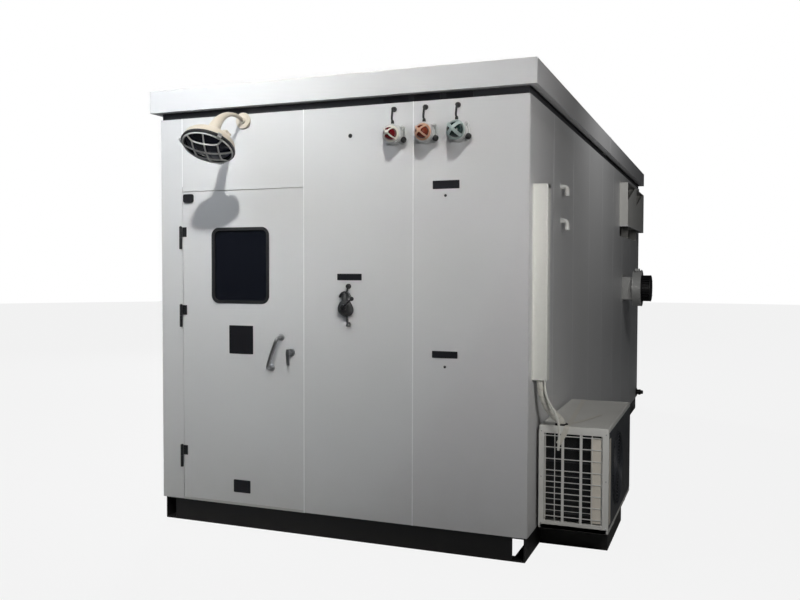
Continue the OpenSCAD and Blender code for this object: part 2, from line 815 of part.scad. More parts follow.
module switch_lever() {
    color([0.5, 0.5, 0.5]) on_wall(switch_x, switch_z) {
        translate([0, 0, 21]) cylinder(r = 8, h = 40);
        translate([0, 0, 51]) cylinder(r = 16, h = 12);
        rotate([0, 0, lever_angle]) translate([0, 0, 57]) rotate([0, 90, 0]) {
            cylinder(r = 6, h = 80);
            translate([0, 0, 82]) sphere(r = 13);
        }
    }
}

module nameplates() {
    color(black) {
        for (p = [[1304, 1471, 1468, 1511], [1924, 2009, 2088, 2058], [1923, 1017, 2080, 1058]])
            front_plate(front - 2, front - 0.05) round_rect([fx(p[0]), wz(p[1])], [fx(p[2]), wz(p[3])], 2);
        for (x = [1607, 1804, 2004])
            front_plate(front + 5, front + 9.95)
                round_rect([fx(x), wall_top + 1], [fx(x + 162), wall_top + rail_h - 1], 2);
    }
}

module wall_fittings() {
    color(black) {
        for (p = [[2003, 1970, 8], [2003, 965, 8], [1392, 2350, 13]])
            on_wall(p[0], p[1]) {
                translate([0, 0, 0.05]) cylinder(r = p[2], h = 3);
                translate([0, 0, 3]) cylinder(r1 = p[2] - 2, r2 = p[2] - 5, h = p[2] / 2);
            }
        on_wall(1382, 1434) translate([0, 0, 0.05]) {
            cylinder(r = 16, h = 12);
            cylinder(r = 11, h = 24);
        }
        translate([fx(1382), front - 17, wz(switch_z + 84.5)]) cylinder(r = 6, h = 42);
    }
}

// ---------- Right side ----------

duct_x1 = right + 85;
duct_y0 = sy(100);
duct_y1 = sy(176);
duct_z0 = wz(900);
duct_z1 = wz(2030);
duct_t = 2;

module raceway() {
    color(white) {
        // near cheek with its fixing flange, far cheek, cover and end cap
        block([right + 0.05, duct_y0, duct_z0], [duct_x1 - duct_t - weld, duct_y0 + duct_t, duct_z1 - duct_t - weld]);
        block([right + 0.05, duct_y0 - 18, duct_z0], [right + 2, duct_y0, duct_z1 - duct_t - weld]);
        block([right + 0.05, duct_y1 - duct_t, duct_z0], [duct_x1 - duct_t - weld, duct_y1, duct_z1 - duct_t - weld]);
        block([duct_x1 - duct_t, duct_y0, duct_z0], [duct_x1, duct_y1, duct_z1 - duct_t - weld]);
        block([right + 0.05, duct_y0 - 18, duct_z1 - duct_t], [duct_x1, duct_y1, duct_z1]);
        for (z = [duct_z0 + 40 : 350 : duct_z1]) x_rod([right + 1.9, duct_y0 - 9, z], 5, 3);
    }
}

// Route of the wrapped refrigerant pipes: through the wall, down the raceway, over to the outdoor unit
bundle_route = [
    [1176, -2862, 2095], [1225, -2862, 2095], [1262, -2862, 2085], [1284, -2862, 2062], [1292, -2862, 2030],
    [1293, -2862, 1800], [1293, -2862, 1400], [1293, -2862, 1080], [1295, -2861, 1010], [1306, -2852, 945],
    [1328, -2828, 885], [1358, -2792, 835], [1384, -2758, 800], [1394, -2742, 774]];

module refrigerant_pipes() {
    color([0.74, 0.72, 0.66]) tube_along(smooth_path(bundle_route, 2), bundle_r, 16);
}

// Route of the drain hose: out of the raceway, over the bundle, hanging in front of the outdoor unit
hose_r = 7;
hose_route = [
    [1322, -2886, 1072], [1322, -2886, 1044], [1323, -2887, 1015], [1326, -2889, 985], [1333, -2889, 955],
    [1344, -2887, 928], [1357, -2882, 902], [1371, -2877, 876], [1384, -2872, 848], [1394, -2868, 818],
    [1400, -2865, 786], [1402, -2863, 754], [1402, -2862, 722], [1401, -2861, 692], [1399, -2861, 664],
    [1397, -2861, 640]];

module drain_hose() {
    color(white) tube_along(smooth_path(hose_route, 2), hose_r, 10);
}

module vent_elbows() {
    color(white) for (p = [[935, 2235], [940, 2010]]) translate([right, sy(p[0]), wz(p[1])]) {
        x_rod([0.05, 0, 0], 24, 3);
        x_rod([3, 0, 0], 15, 27);
        translate([30, 0, -15]) rotate([90, 0, 0]) rotate_extrude(angle = 90) translate([15, 0]) circle(14.9);
        translate([45, 0, -15]) rotate([180, 0, 0]) cylinder(r = 14.9, h = 45);
    }
}

hood_t = 2;

module vent_hood() {
    y0 = sy(hood_y0);
    y1 = sy(hood_y0 + hood_l);
    ym = (y0 + y1) / 2;
    x1 = right + hood_d;
    z0 = wz(hood_z0);
    z1 = wz(hood_z0 + hood_h);
    half = (y1 - y0) / 2;
    x_in = x1 - hood_t - weld;
    z_in = z1 - hood_t - weld;
    color(white) {
        // cheeks, middle rib and top
        for (y = [y0, ym - hood_t / 2, y1 - hood_t]) block([right + 0.05, y, z0], [x_in, y + hood_t, z_in]);
        block([right + 0.05, y0, z1 - hood_t], [x1, y1, z1]);
        // front plates, each with a slanting cut at its top near corner
        for (y = [y0, ym + weld])
            side_plate(x1 - hood_t, x1)
                polygon([[y, z0], [y + half - weld, z0], [y + half - weld, z_in], [y + 0.66 * half, z_in],
                    [y, z1 - 150]]);
        // fixing flange above the wall opening
        block([right + 0.05, y0 - 20, z1 + weld], [right + 2, y1 + 20, z1 + 18]);
    }
}

drum_x0 = right + 100;
drum_x1 = right + 190;
fan_motor_r = 140;
fan_motor_x1 = right + 285;

module fan_casing() {
    y = sy(fan_y);
    z = wz(fan_z);
    color(cast) {
        // square duct against the wall: top, bottom and two sides
        for (s = [-1, 1]) {
            block([right + 0.05, y - duct, z + s * (duct - 1.5) - 1.5],
                [drum_x0 - 0.2, y + duct, z + s * (duct - 1.5) + 1.5]);
            block([right + 0.05, y + s * (duct - 1.5) - 1.5, z - duct + 3.2],
                [drum_x0 - 0.2, y + s * (duct - 1.5) + 1.5, z + duct - 3.2]);
        }
        // round drum
        difference() {
            x_rod([drum_x0, y, z], fan_drum_r, drum_x1 - drum_x0);
            x_rod([drum_x0 + 3, y, z], fan_drum_r - 3, 100);
            x_rod([drum_x0 - 1, y, z], 112, 10);
        }
        // three motor arms
        for (a = [90, 210, 330]) translate([drum_x1 - 8, y, z]) rotate([a, 0, 0])
            translate([0, -9, fan_motor_r - 1.5]) cube([6, 18, fan_drum_r - fan_motor_r]);
    }
}

module fan_motor() {
    y = sy(fan_y);
    z = wz(fan_z);
    fins = 30;
    color(black) difference() {
        union() {
            x_rod([drum_x1 - 6, y, z], 118, fan_motor_x1 - drum_x1 + 6);
            x_rod([drum_x1 - 6, y, z], fan_motor_r - 2.1, 10);
            x_rod([fan_motor_x1 - 14, y, z], fan_motor_r - 2, 14);
            for (i = [0 : fins - 1]) translate([drum_x1, y, z]) rotate([i * 360 / fins, 0, 0])
                translate([0, -1.5, 110]) cube([fan_motor_x1 - drum_x1 - 8, 3, fan_motor_r - 114]);
        }
        x_rod([drum_x1 - 7, y, z], 12 + run_gap, 60);
    }
}

module fan_impeller() {
    y = sy(fan_y);
    z = wz(fan_z);
    color([0.5, 0.52, 0.54]) {
        x_rod([drum_x0 + 20, y, z], 12, 110);
        x_rod([drum_x0 + 22, y, z], 48, 44);
        for (i = [0 : 5]) translate([drum_x0 + 44, y, z]) rotate([i * 60, 0, 0])
            translate([-3, 0, 40]) rotate([0, 0, 32]) translate([-3, -28, 0]) cube([6, 56, 130]);
    }
}

module supply_gland() {
    y = sy(5880);
    z = wz(66);
    color(black) {
        x_rod([right + 0.05, y, z], 48, 12);
        x_rod([right + 12, y, z], 30, 20);
        x_rod([right + 32, y, z], 36, 22, $fn = 6);
        x_rod([right + 54, y, z], 22, 30);
    }
}

// ---------- Outdoor unit ----------

unit_x0 = right + unit_gap;
unit_x1 = unit_x0 + unit_d;
unit_back = sy(unit_y0 + unit_l);
unit_front = sy(unit_y0);
unit_z0 = platform_top;
pan_z = wz(15);
unit_top = wz(15) + unit_h;
sheet = 1.2;
unit_fan = [unit_front + 400, (pan_z + unit_top) / 2];
bulkhead_y = unit_front + 760;

module condenser_case() {
    color(white) {
        // base pan on two feet
        for (y = [unit_front + 230, unit_front + 800])
            block([unit_x0 + 2.2, y, unit_z0], [unit_x1 - 2.2, y + 60, pan_z + 22.8]);
        block([unit_x0, unit_front, pan_z + 23], [unit_x1, unit_back, pan_z + 25]);
        for (y = [unit_front, unit_back - 2]) block([unit_x0, y, pan_z], [unit_x1, y + 2, pan_z + 22.8]);
        for (x = [unit_x0, unit_x1 - 2])
            block([x, unit_front + 2 + weld, pan_z], [x + 2, unit_back - 2 - weld, pan_z + 22.8]);
        // front end frame around the wire guard: two stiles and two rails
        for (x = [[unit_x0, unit_x0 + 30], [unit_x1 - 36, unit_x1]])
            block([x[0], unit_front, pan_z + 25.05], [x[1], unit_front + 20, unit_top - 25.05]);
        for (z = [[pan_z + 25.05, pan_z + 45], [unit_top - 45, unit_top - 25.05]])
            block([unit_x0 + 30 + weld, unit_front, z[0]], [unit_x1 - 36 - weld, unit_front + 20, z[1]]);
        // rear end plate
        block([unit_x0, unit_back - sheet, pan_z + 25.05], [unit_x1, unit_back, unit_top - 25.05]);
        // outer side with the fan outlet
        side_plate(unit_x1 - sheet, unit_x1) difference() {
            translate([unit_front + 20.05, pan_z + 25.05])
                square([unit_l - 20.15 - sheet, unit_h - 50.1]);
            translate(unit_fan) circle(unit_fan_r + 8, $fn = 96);
        }
        // bulkhead between the fan chamber and the compressor
        block([unit_x0 + 60, bulkhead_y, pan_z + 25.05], [unit_x1 - sheet - 0.05, bulkhead_y + sheet, unit_top - 25.05]);
        // top cover with a raised rim
        difference() {
            block([unit_x0, unit_front, unit_top - 25], [unit_x1, unit_back, unit_top]);
            block([unit_x0 + 14, unit_front + 14, unit_top - 6], [unit_x1 - 14, unit_back - 14, unit_top + 1]);
            block([unit_x0 + 5, unit_front + 5, unit_top - 26], [unit_x1 - 5, unit_back - 5, unit_top - 8]);
            translate([1394, -2742, unit_top - 40]) cylinder(r = bundle_r + 4, h = 60);
        }
    }
}

module condenser_guards() {
    y = unit_front + 10.5;
    x0 = unit_x0 + 30.2;
    x1 = unit_x1 - 36.2;
    z0 = pan_z + 45.2;
    z1 = unit_top - 45.2;
    color(white) {
        // end guard inside the frame: level wires, upright wires behind them and two flat bars in front
        for (z = [z0 + 28 : 68 : z1]) x_rod([x0, y, z], 2.5, x1 - x0, $fn = 16);
        for (x = [x0 + 5, x0 + 60, x1 - 60, x1 - 5])
            translate([x, y + 3, z0]) cylinder(r = 2.5, h = z1 - z0, $fn = 16);
        for (x = [x0 + 102, x0 + 208]) block([x, y - 6, z0], [x + 16, y - 2, z1]);
        // round guard over the fan outlet: rings on four spokes
        for (r = [40 : 30 : unit_fan_r + 5]) difference() {
            x_rod([unit_x1 + 3, unit_fan[0], unit_fan[1]], r + 2, 4);
            x_rod([unit_x1 + 2, unit_fan[0], unit_fan[1]], r - 2, 6);
        }
        for (a = [0 : 45 : 135]) translate([unit_x1 + 2, unit_fan[0], unit_fan[1]]) rotate([a, 0, 0])
            cube([3.8, 5, 2 * unit_fan_r + 24], center = true);
    }
}

module condenser_coil() {
    t = 22;
    x0 = unit_x0 + 6;
    color([0.3, 0.31, 0.32]) {
        block([x0, unit_front + 50, pan_z + 27], [x0 + t, unit_back - 60, unit_top - 30]);
        block([x0, unit_front + 50, pan_z + 27], [x0 + 270, unit_front + 50 + t, unit_top - 30]);
    }
}

module condenser_fan() {
    hub_x = unit_x1 - 90;
    color([0.25, 0.26, 0.28]) {
        x_rod([hub_x - 60, unit_fan[0], unit_fan[1]], 8, 100);
        x_rod([hub_x - 10, unit_fan[0], unit_fan[1]], 50, 60);
        for (i = [0 : 2]) translate([hub_x + 20, unit_fan[0], unit_fan[1]]) rotate([i * 120, 0, 0])
            rotate([0, 0, 24]) translate([-2, -60, 40]) cube([4, 120, unit_fan_r - 48]);
    }
}

module condenser_machinery() {
    hub_x = unit_x1 - 90;
    // fan motor on its upright bracket
    color([0.4, 0.4, 0.42]) {
        difference() {
            x_rod([hub_x - 130, unit_fan[0], unit_fan[1]], 55, 105);
            x_rod([hub_x - 70, unit_fan[0], unit_fan[1]], 8 + run_gap, 60);
        }
        for (y = [-40, 20])
            block([hub_x - 140, unit_fan[0] + y, pan_z + 25.05], [hub_x - 132, unit_fan[0] + y + 20, unit_top - 30]);
        block([hub_x - 131.9, unit_fan[0] - 40, unit_fan[1] - 60], [hub_x - 130, unit_fan[0] + 40, unit_fan[1] + 60]);
    }
    // compressor with its accumulator
    color(black) {
        translate([unit_x0 + 230, unit_back - 160, pan_z + 25.05]) cylinder(r = 75, h = 300);
        translate([unit_x0 + 105, unit_back - 150, pan_z + 25.05]) cylinder(r = 35, h = 220);
    }
}

// ---------- Inside ----------

board_y0 = -1000;
board_y1 = -200;
board_z0 = 1000;
board_z1 = 1900;
board_d = 220;
cab_y0 = 900;
cab_y1 = 1700;
cab_d = 600;
cab_z0 = base_h + floor_t + 0.05;
cab_z1 = 2160;
case_t = 2;
cab_hinge_r = 8;

// A steel enclosure on the left wall, open towards +X, with barrel pins for its door
module enclosure(d, y0, y1, z0, z1) {
    x0 = -inner_x + 0.05;
    // back, sides, bottom and top
    block([x0, y0, z0], [x0 + case_t, y1, z1]);
    for (y = [y0, y1 - case_t]) block([x0 + case_t + weld, y, z0], [x0 + d, y + case_t, z1]);
    for (z = [z0, z1 - case_t])
        block([x0 + case_t + weld, y0 + case_t + weld, z], [x0 + d, y1 - case_t - weld, z + case_t]);
    for (z = [z0 + 100, z1 - 180]) {
        translate([x0 + d + 10, y0 + 10, z]) cylinder(r = cab_hinge_r, h = 39.5);
        translate([x0 + d + 10, y0 + 10, z]) cylinder(r = 4, h = 76);
        block([x0 + d - 6, y0 + 2.2, z + 2], [x0 + d + 10, y0 + 5, z + 38]);
    }
}

// The door of an enclosure, with the barrels that run on its pins and a lock knob
module enclosure_door(d, y0, y1, z0, z1) {
    x0 = -inner_x + 0.05;
    difference() {
        union() {
            block([x0 + d + 2, y0 + 26, z0], [x0 + d + 22, y1, z1]);
            for (z = [z0 + 100, z1 - 180]) {
                translate([x0 + d + 10, y0 + 10, z + 40]) cylinder(r = cab_hinge_r, h = 40);
                block([x0 + d + 8, y0 + 10, z + 42], [x0 + d + 12, y0 + 30, z + 78]);
            }
        }
        block([x0 + d + 1, y0 + 28, z0 + 2], [x0 + d + 20, y1 - 2, z1 - 2]);
        for (z = [z0 + 100, z1 - 180])
            translate([x0 + d + 10, y0 + 10, z + 39]) cylinder(r = 4 + run_gap, h = 42);
    }
    x_rod([x0 + d + 22, y1 - 60, (z0 + z1) / 2], 14, 18);
}

module distribution_board() {
    color([0.7, 0.7, 0.68]) enclosure(board_d, board_y0, board_y1, board_z0, board_z1);
    // mounting plate with rows of breakers
    x0 = -inner_x + 30;
    color([0.8, 0.8, 0.8]) block([x0, board_y0 + 40, board_z0 + 40], [x0 + 3, board_y1 - 40, board_z1 - 40]);
    color(dark) for (z = [board_z0 + 200, board_z0 + 450, board_z0 + 700], i = [0 : 5])
        translate([x0 + 3.05, board_y0 + 120 + i * 95, z]) cube([70, 72, 85]);
}

module board_door() {
    color([0.7, 0.7, 0.68]) enclosure_door(board_d, board_y0, board_y1, board_z0, board_z1);
}

module instrument_cabinet() {
    color([0.7, 0.7, 0.68]) enclosure(cab_d, cab_y0, cab_y1, cab_z0, cab_z1);
    // shelves with instruments
    x0 = -inner_x + case_t + 0.3;
    for (z = [600, 1100, 1600]) {
        color(cast) block([x0, cab_y0 + case_t + 0.3, z], [x0 + 480, cab_y1 - case_t - 0.3, z + 3]);
        color(dark) difference() {
            block([x0 + 60, cab_y0 + 160, z + 3.05], [x0 + 420, cab_y1 - 160, z + 230]);
            block([x0 + 59, cab_y0 + 163, z + 6], [x0 + 417, cab_y1 - 163, z + 227]);
        }
    }
}

module cabinet_door() {
    color([0.7, 0.7, 0.68]) enclosure_door(cab_d, cab_y0, cab_y1, cab_z0, cab_z1);
}

module indoor_unit() {
    x1 = inner_x - 0.05;
    z0 = 2180;
    y0 = -2700;
    l = 860;
    color(white) difference() {
        block([x1 - 210, y0, z0], [x1, y0 + l, z0 + 290]);
        block([x1 - 206, y0 + 4, z0 + 4], [x1 + 1, y0 + l - 4, z0 + 286]);
        block([x1 - 150, y0 + 40, z0 - 1], [x1 - 60, y0 + l - 40, z0 + 5]);
    }
    // pipe stub that meets the bundle in the wall
    color(black) block([x1 - 60, -2897, 2062], [x1, -2827, 2128]);
    color(black) block([x1 - 60, -2827, 2062], [x1 - 20, -2690, 2100]);
    color(black) block([x1 - 60, -2720, 2062], [x1 - 20, -2690, z0 - 0.05]);
}

module ceiling_lights() {
    z1 = wall_top - lining_z - 0.05;
    color(white) for (y = [-1500, 1300]) {
        block([200, y - 620, z1 - 20], [300, y + 620, z1]);
        for (x = [225, 275]) y_rod([x, y - 600, z1 - 40], 14, 1200);
        for (e = [y - 620, y + 601]) block([205, e, z1 - 56], [295, e + 19, z1 - 20.05]);
    }
}

module cable_tray() {
    z0 = 2380;
    x0 = -inner_x + 60;
    color(cast) {
        block([x0, -inner_y + 150, z0], [x0 + 200, inner_y - 150, z0 + 2]);
        for (x = [x0, x0 + 198])
            block([x, -inner_y + 150, z0 + 2 + weld], [x + 2, inner_y - 150, z0 + 50]);
        for (y = [-2400 : 1200 : 2400]) block([-inner_x + 0.05, y, z0 - 20], [x0 + 200, y + 30, z0 - 0.05]);
    }
}

base_frame();
condenser_platform();
floor_deck();
front_wall_panels();
right_wall_panels();
left_wall_panels();
rear_wall_panels();
inner_wall_panels();
ceiling_panel();
top_rail();
roof_caps();
door_frame();
door_seal();
hinge_frame_leaves();
door_leaf();
door_inner_panel();
hinge_door_leaves();
window_glass();
window_gasket();
pull_handle();
door_plates();
exit_device_case();
lever_handle();
panic_bar();
lamp_bracket();
lamp_housing();
lamp_lens();
lamp_guard();
lamp_module();
beacon_bodies();
beacon_lens_red();
beacon_lens_amber();
beacon_lens_green();
beacon_guards();
beacon_cables();
switch_body();
switch_lever();
nameplates();
wall_fittings();
raceway();
refrigerant_pipes();
drain_hose();
vent_elbows();
vent_hood();
fan_casing();
fan_motor();
fan_impeller();
supply_gland();
condenser_case();
condenser_guards();
condenser_coil();
condenser_fan();
condenser_machinery();
distribution_board();
board_door();
instrument_cabinet();
cabinet_door();
indoor_unit();
ceiling_lights();
cable_tray();
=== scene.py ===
"""Looks of a walk-in equipment shelter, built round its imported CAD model."""
import json
import math

import bmesh
import bpy
import numpy as np
from bpy.props import FloatProperty, FloatVectorProperty, IntProperty, PointerProperty
from mathutils import Matrix


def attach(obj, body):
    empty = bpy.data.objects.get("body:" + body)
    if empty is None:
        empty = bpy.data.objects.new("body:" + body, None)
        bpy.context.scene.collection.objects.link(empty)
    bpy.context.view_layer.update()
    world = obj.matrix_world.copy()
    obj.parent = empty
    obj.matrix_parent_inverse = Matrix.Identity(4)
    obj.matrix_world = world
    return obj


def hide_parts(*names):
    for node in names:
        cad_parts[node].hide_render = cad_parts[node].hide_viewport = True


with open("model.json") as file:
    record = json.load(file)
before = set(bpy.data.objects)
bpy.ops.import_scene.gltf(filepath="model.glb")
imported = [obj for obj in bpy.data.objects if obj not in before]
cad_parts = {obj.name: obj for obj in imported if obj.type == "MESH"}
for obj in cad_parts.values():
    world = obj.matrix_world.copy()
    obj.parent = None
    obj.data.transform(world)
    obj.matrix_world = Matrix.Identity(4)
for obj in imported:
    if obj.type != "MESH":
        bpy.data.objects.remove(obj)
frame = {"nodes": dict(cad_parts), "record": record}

bl_info = {
    "name": "Equipment Shelter Looks",
    "version": (1, 0, 0),
    "blender": (4, 5, 0),
    "location": "3D View > Sidebar > Shelter",
    "description": "Builds the fittings, finishes and studio of a walk-in equipment shelter",
    "category": "Add Mesh",
}

FRONT = -3.0
SIDE = 1.25
SLOT_OF = {part["node"]: part["material_slot"] for part in frame["record"]["subparts"]}


# ---------- Sizes and colours that a user would change ----------

def length(name, description, default):
    """A length in metres."""
    return FloatProperty(name=name, description=description, default=default, min=0.0, unit="LENGTH")


def colour(name, description, default):
    """A linear colour."""
    return FloatVectorProperty(name=name, description=description, default=default, size=3,
                               min=0.0, max=1.0, subtype="COLOR")


class ShelterSizes(bpy.types.PropertyGroup):
    """Sizes of the small parts."""
    bead_width: length("Sealant width", "Width of the sealant bead along each panel joint", 0.007)
    bead_height: length("Sealant height", "How far the sealant bead stands proud", 0.0022)
    fold: length("Fold radius", "Outer radius of the folded edges of the roof", 0.005)
    tape_pitch: length("Tape pitch", "Distance between the laps of the pipe tape", 0.042)
    tape_thickness: length("Tape thickness", "Step at each lap of the pipe tape", 0.0014)
    hose_wall: length("Hose wall", "Wall thickness of the drain hose", 0.0016)
    guard_wire: length("Lamp guard wire", "Width of the bars of the floodlight's guard", 0.008)
    motor_fins: IntProperty(name="Motor fins", description="Cooling fins round the exhaust fan's motor",
                            default=30, min=8, max=60)
    unit_wire: length("Unit guard wire", "Radius of the wires of the outdoor unit's guard", 0.0026)


class ShelterColours(bpy.types.PropertyGroup):
    """Colours of the main finishes."""
    wall: colour("Walls", "Satin paint of the wall panels and the door", (0.664, 0.670, 0.680))
    roof: colour("Roof", "Paint of the roof caps", (0.70, 0.705, 0.72))
    # The rail's near-black colour is painted shade: it stands in for the shadow gap under the roof cap.
    rail: colour("Rail", "Dark paint of the rail under the roof", (0.036, 0.037, 0.042))
    base: colour("Base", "Black paint of the base frame", (0.006, 0.006, 0.007))
    enamel: colour("Lamp enamel", "Cream enamel of the floodlight", (0.68, 0.62, 0.52))
    unit: colour("Outdoor unit", "Paint of the outdoor unit's case", (0.78, 0.78, 0.75))
    dust: colour("Dust", "Settled dust", (0.33, 0.30, 0.25))


class StudioSettings(bpy.types.PropertyGroup):
    """Power of the lights."""
    key: FloatProperty(name="Key", description="Power of the light that throws the shadows",
                       default=25.0, min=0.0, unit="POWER")
    sky: FloatProperty(name="Sky", description="Power of the cool light at the upper left",
                       default=6.0, min=0.0, unit="POWER")
    flank: FloatProperty(name="Flank", description="Power of the light on the right side",
                         default=30.0, min=0.0, unit="POWER")
    wash: FloatProperty(name="Wash", description="Power of the light high on the left",
                        default=26.0, min=0.0, unit="POWER")
    crest: FloatProperty(name="Crest", description="Power of the light high on the right",
                         default=15.0, min=0.0, unit="POWER")
    back: FloatProperty(name="Back", description="Power of the light behind the shelter",
                        default=420.0, min=0.0, unit="POWER")
    room: FloatProperty(name="Room", description="Brightness of the surroundings", default=0.02, min=0.0)


# ---------- Shapes: each is an array of points and a list of faces ----------

def place_at(origin, x_axis, y_axis, z_axis):
    """A place: its origin and the directions that its own X, Y and Z point in."""
    place = np.eye(4)
    place[:3, 0], place[:3, 1], place[:3, 2], place[:3, 3] = x_axis, y_axis, z_axis, origin
    return place


def front_at(x, z, out=0.0):
    """A place on the front wall, with its Z pointing out of the wall and its Y up."""
    return place_at((x, FRONT - out, z), (1, 0, 0), (0, 0, 1), (0, -1, 0))


def side_at(y, z, out=0.0):
    """A place on the right wall, with its Z pointing out of the wall and its Y up."""
    return place_at((SIDE + out, y, z), (0, 1, 0), (0, 0, 1), (1, 0, 0))


def placed(points, place):
    """Local points moved to a place: the origin plus each coordinate along its own axis."""
    return points @ place[:3, :3].T + place[:3, 3]


def turned(place, angle, about=2):
    """The place turned about one of its own axes."""
    c, s = math.cos(angle), math.sin(angle)
    i, j = [(1, 2), (2, 0), (0, 1)][about]
    turn = np.eye(4)
    turn[i, i], turn[i, j], turn[j, i], turn[j, j] = c, -s, s, c
    return place @ turn


def moved(place, x=0.0, y=0.0, z=0.0):
    """The place shifted along its own axes."""
    shift = np.eye(4)
    shift[:3, 3] = x, y, z
    return place @ shift


def upright(x, y, z):
    """A place with its axes along the world's."""
    return place_at((x, y, z), (1, 0, 0), (0, 1, 0), (0, 0, 1))


def grid(points, wrap=(False, False)):
    """A sheet of quads through rows and columns of points; wrap joins the last row or column to the first."""
    rows, cols = points.shape[:2]
    a, b = np.meshgrid(np.arange(rows if wrap[0] else rows - 1),
                       np.arange(cols if wrap[1] else cols - 1), indexing="ij")
    a2, b2 = (a + 1) % rows, (b + 1) % cols
    quads = np.stack([a * cols + b, a * cols + b2, a2 * cols + b2, a2 * cols + b], -1).reshape(-1, 4)
    return points.reshape(-1, 3), quads.tolist()


def around(count):
    """Angles evenly spaced round a circle."""
    return np.linspace(0.0, 2.0 * np.pi, count, endpoint=False)


def capped(rings):
    """A skin through closed rings of points, with the first and the last ring filled."""
    v, f = grid(rings, (False, True))
    n = rings.shape[1]
    return v, f + [list(range(n)), list(range(len(v) - n, len(v)))]


def levels(pairs):
    """Flat outlines with the same number of points, each lifted to its own height."""
    return np.stack([np.column_stack([outline, np.full(len(outline), height)]) for outline, height in pairs])


def lathe(profile, place, turns=48, loop=False):
    """Turned shape: each (radius r, height h) goes round Z as (r cos t, r sin t, h). A loop closes on itself,
    any other profile closes at both ends on the axis."""
    p = np.asarray(profile, float)
    if not loop:
        p = np.vstack([[0.0, p[0, 1]], p, [0.0, p[-1, 1]]])
    t = around(turns)
    ring = np.stack([np.cos(t), np.sin(t)], -1)
    points = np.concatenate([p[:, None, :1] * ring, np.broadcast_to(p[:, None, 1:], (len(p), turns, 1))], -1)
    return grid(placed(points, place), (loop, True))


def circle(radius, sides=16):
    """Section: a circle as points (r cos t, r sin t)."""
    t = around(sides)
    return radius * np.stack([np.cos(t), np.sin(t)], -1)


def round_rect(w, h, r, steps=6):
    """Outline of a rectangle with round corners: each corner's centre plus r times a quarter turn."""
    q = np.arange(4)[:, None] * np.pi / 2 + np.linspace(0.0, np.pi / 2, steps)
    cx = (w / 2 - r) * np.array([1, -1, -1, 1])[:, None]
    cy = (h / 2 - r) * np.array([1, 1, -1, -1])[:, None]
    return np.stack([cx + r * np.cos(q), cy + r * np.sin(q)], -1).reshape(-1, 2)


def smooth(points, steps):
    """Catmull-Rom curve: between two points, a cubic whose end slopes are half the chord over each point."""
    p = np.asarray(points, float)
    p = np.vstack([2 * p[0] - p[1], p, 2 * p[-1] - p[-2]])
    t = (np.arange(steps) / steps)[None, :, None]
    a, b, c, d = p[:-3, None], p[1:-2, None], p[2:-1, None], p[3:, None]
    curve = 0.5 * (2 * b + (c - a) * t + (2 * a - 5 * b + 4 * c - d) * t ** 2 + (3 * b - a - 3 * c + d)
                   * t ** 3)
    return np.vstack([curve.reshape(-1, p.shape[1]), p[-2]])


def evenly(path, step):
    """The path again with its points about one step apart, by linear interpolation along its length."""
    run = np.concatenate([[0.0], np.cumsum(np.linalg.norm(np.diff(path, axis=0), axis=1))])
    s = np.linspace(0.0, run[-1], max(2, int(round(run[-1] / step)) + 1))
    return np.stack([np.interp(s, run, path[:, k]) for k in range(3)], -1), s


def sides_of(path, side, closed=False):
    """Two unit vectors across a path at each point: side made square to the path, and their cross product."""
    if closed:
        t = np.roll(path, -1, axis=0) - np.roll(path, 1, axis=0)
    else:
        t = np.gradient(path, axis=0)
    t = t / np.linalg.norm(t, axis=1, keepdims=True)
    a = np.broadcast_to(np.asarray(side, float), path.shape)
    a = a - np.sum(a * t, axis=1, keepdims=True) * t
    a = a / np.linalg.norm(a, axis=1, keepdims=True)
    return a, np.cross(t, a)


def sweep(path, section, side, scale=1.0, closed=False):
    """A section carried along a path: point = path + scale (u across + v up), with flat ends."""
    path = np.asarray(path, float)
    a, b = sides_of(path, side, closed)
    s = np.broadcast_to(np.asarray(scale, float), len(path))[:, None, None]
    section = np.asarray(section, float)
    points = path[:, None] + s * (section[None, :, :1] * a[:, None] + section[None, :, 1:] * b[:, None])
    return grid(points, (True, True)) if closed else capped(points)


def tube(path, radius, sides=16, side=(0, 1, 0), bore=0.0, twist=None):
    """Round tube: ring point = path + r (cos t across + sin t up), closed at its ends. With a bore the last
    ring turns in to the bore and back to the ring before it.
    A twist array changes the radius round each ring."""
    path = np.asarray(path, float)
    a, b = sides_of(path, side)
    n = len(path)
    at = np.concatenate([[0], np.arange(n), [n - 1, n - 2, n - 2] if bore else [n - 1]])
    r = np.broadcast_to(np.asarray(radius, float), n)
    r = np.concatenate([[0.0], r, [bore, bore, 0.0] if bore else [0.0]])[:, None]
    t = around(sides)
    if twist is not None:
        r = r + np.vstack([np.zeros(sides), twist, np.zeros(sides)])
    across = (r * np.cos(t))[..., None] * a[at][:, None] + (r * np.sin(t))[..., None] * b[at][:, None]
    return grid(path[at][:, None] + across, (False, True))


def plates(boxes):
    """Rectangular plates given by two opposite corners: each corner takes the low or the high coordinate."""
    b = np.asarray(boxes, float).reshape(-1, 2, 3)
    pick = np.array([[i, j, k] for i in (0, 1) for j in (0, 1) for k in (0, 1)])
    v = b[:, pick, [0, 1, 2]].reshape(-1, 3)
    six = np.array([[0, 1, 3, 2], [4, 6, 7, 5], [0, 4, 5, 1], [2, 3, 7, 6], [0, 2, 6, 4], [1, 5, 7, 3]])
    return v, (six[None] + 8 * np.arange(len(b))[:, None, None]).reshape(-1, 4).tolist()


def prism(outline, low, high, place):
    """A flat outline carried from height low to height high: two faces and a band."""
    return capped(placed(levels([(outline, low), (outline, high)]), place))


def ring_plate(outer, inner, low, high, place):
    """A plate with a hole: its section goes round the outer low, outer high, inner high, inner low edges."""
    rings = levels([(outer, low), (outer, high), (inner, high), (inner, low)])
    return grid(placed(rings, place), (True, True))


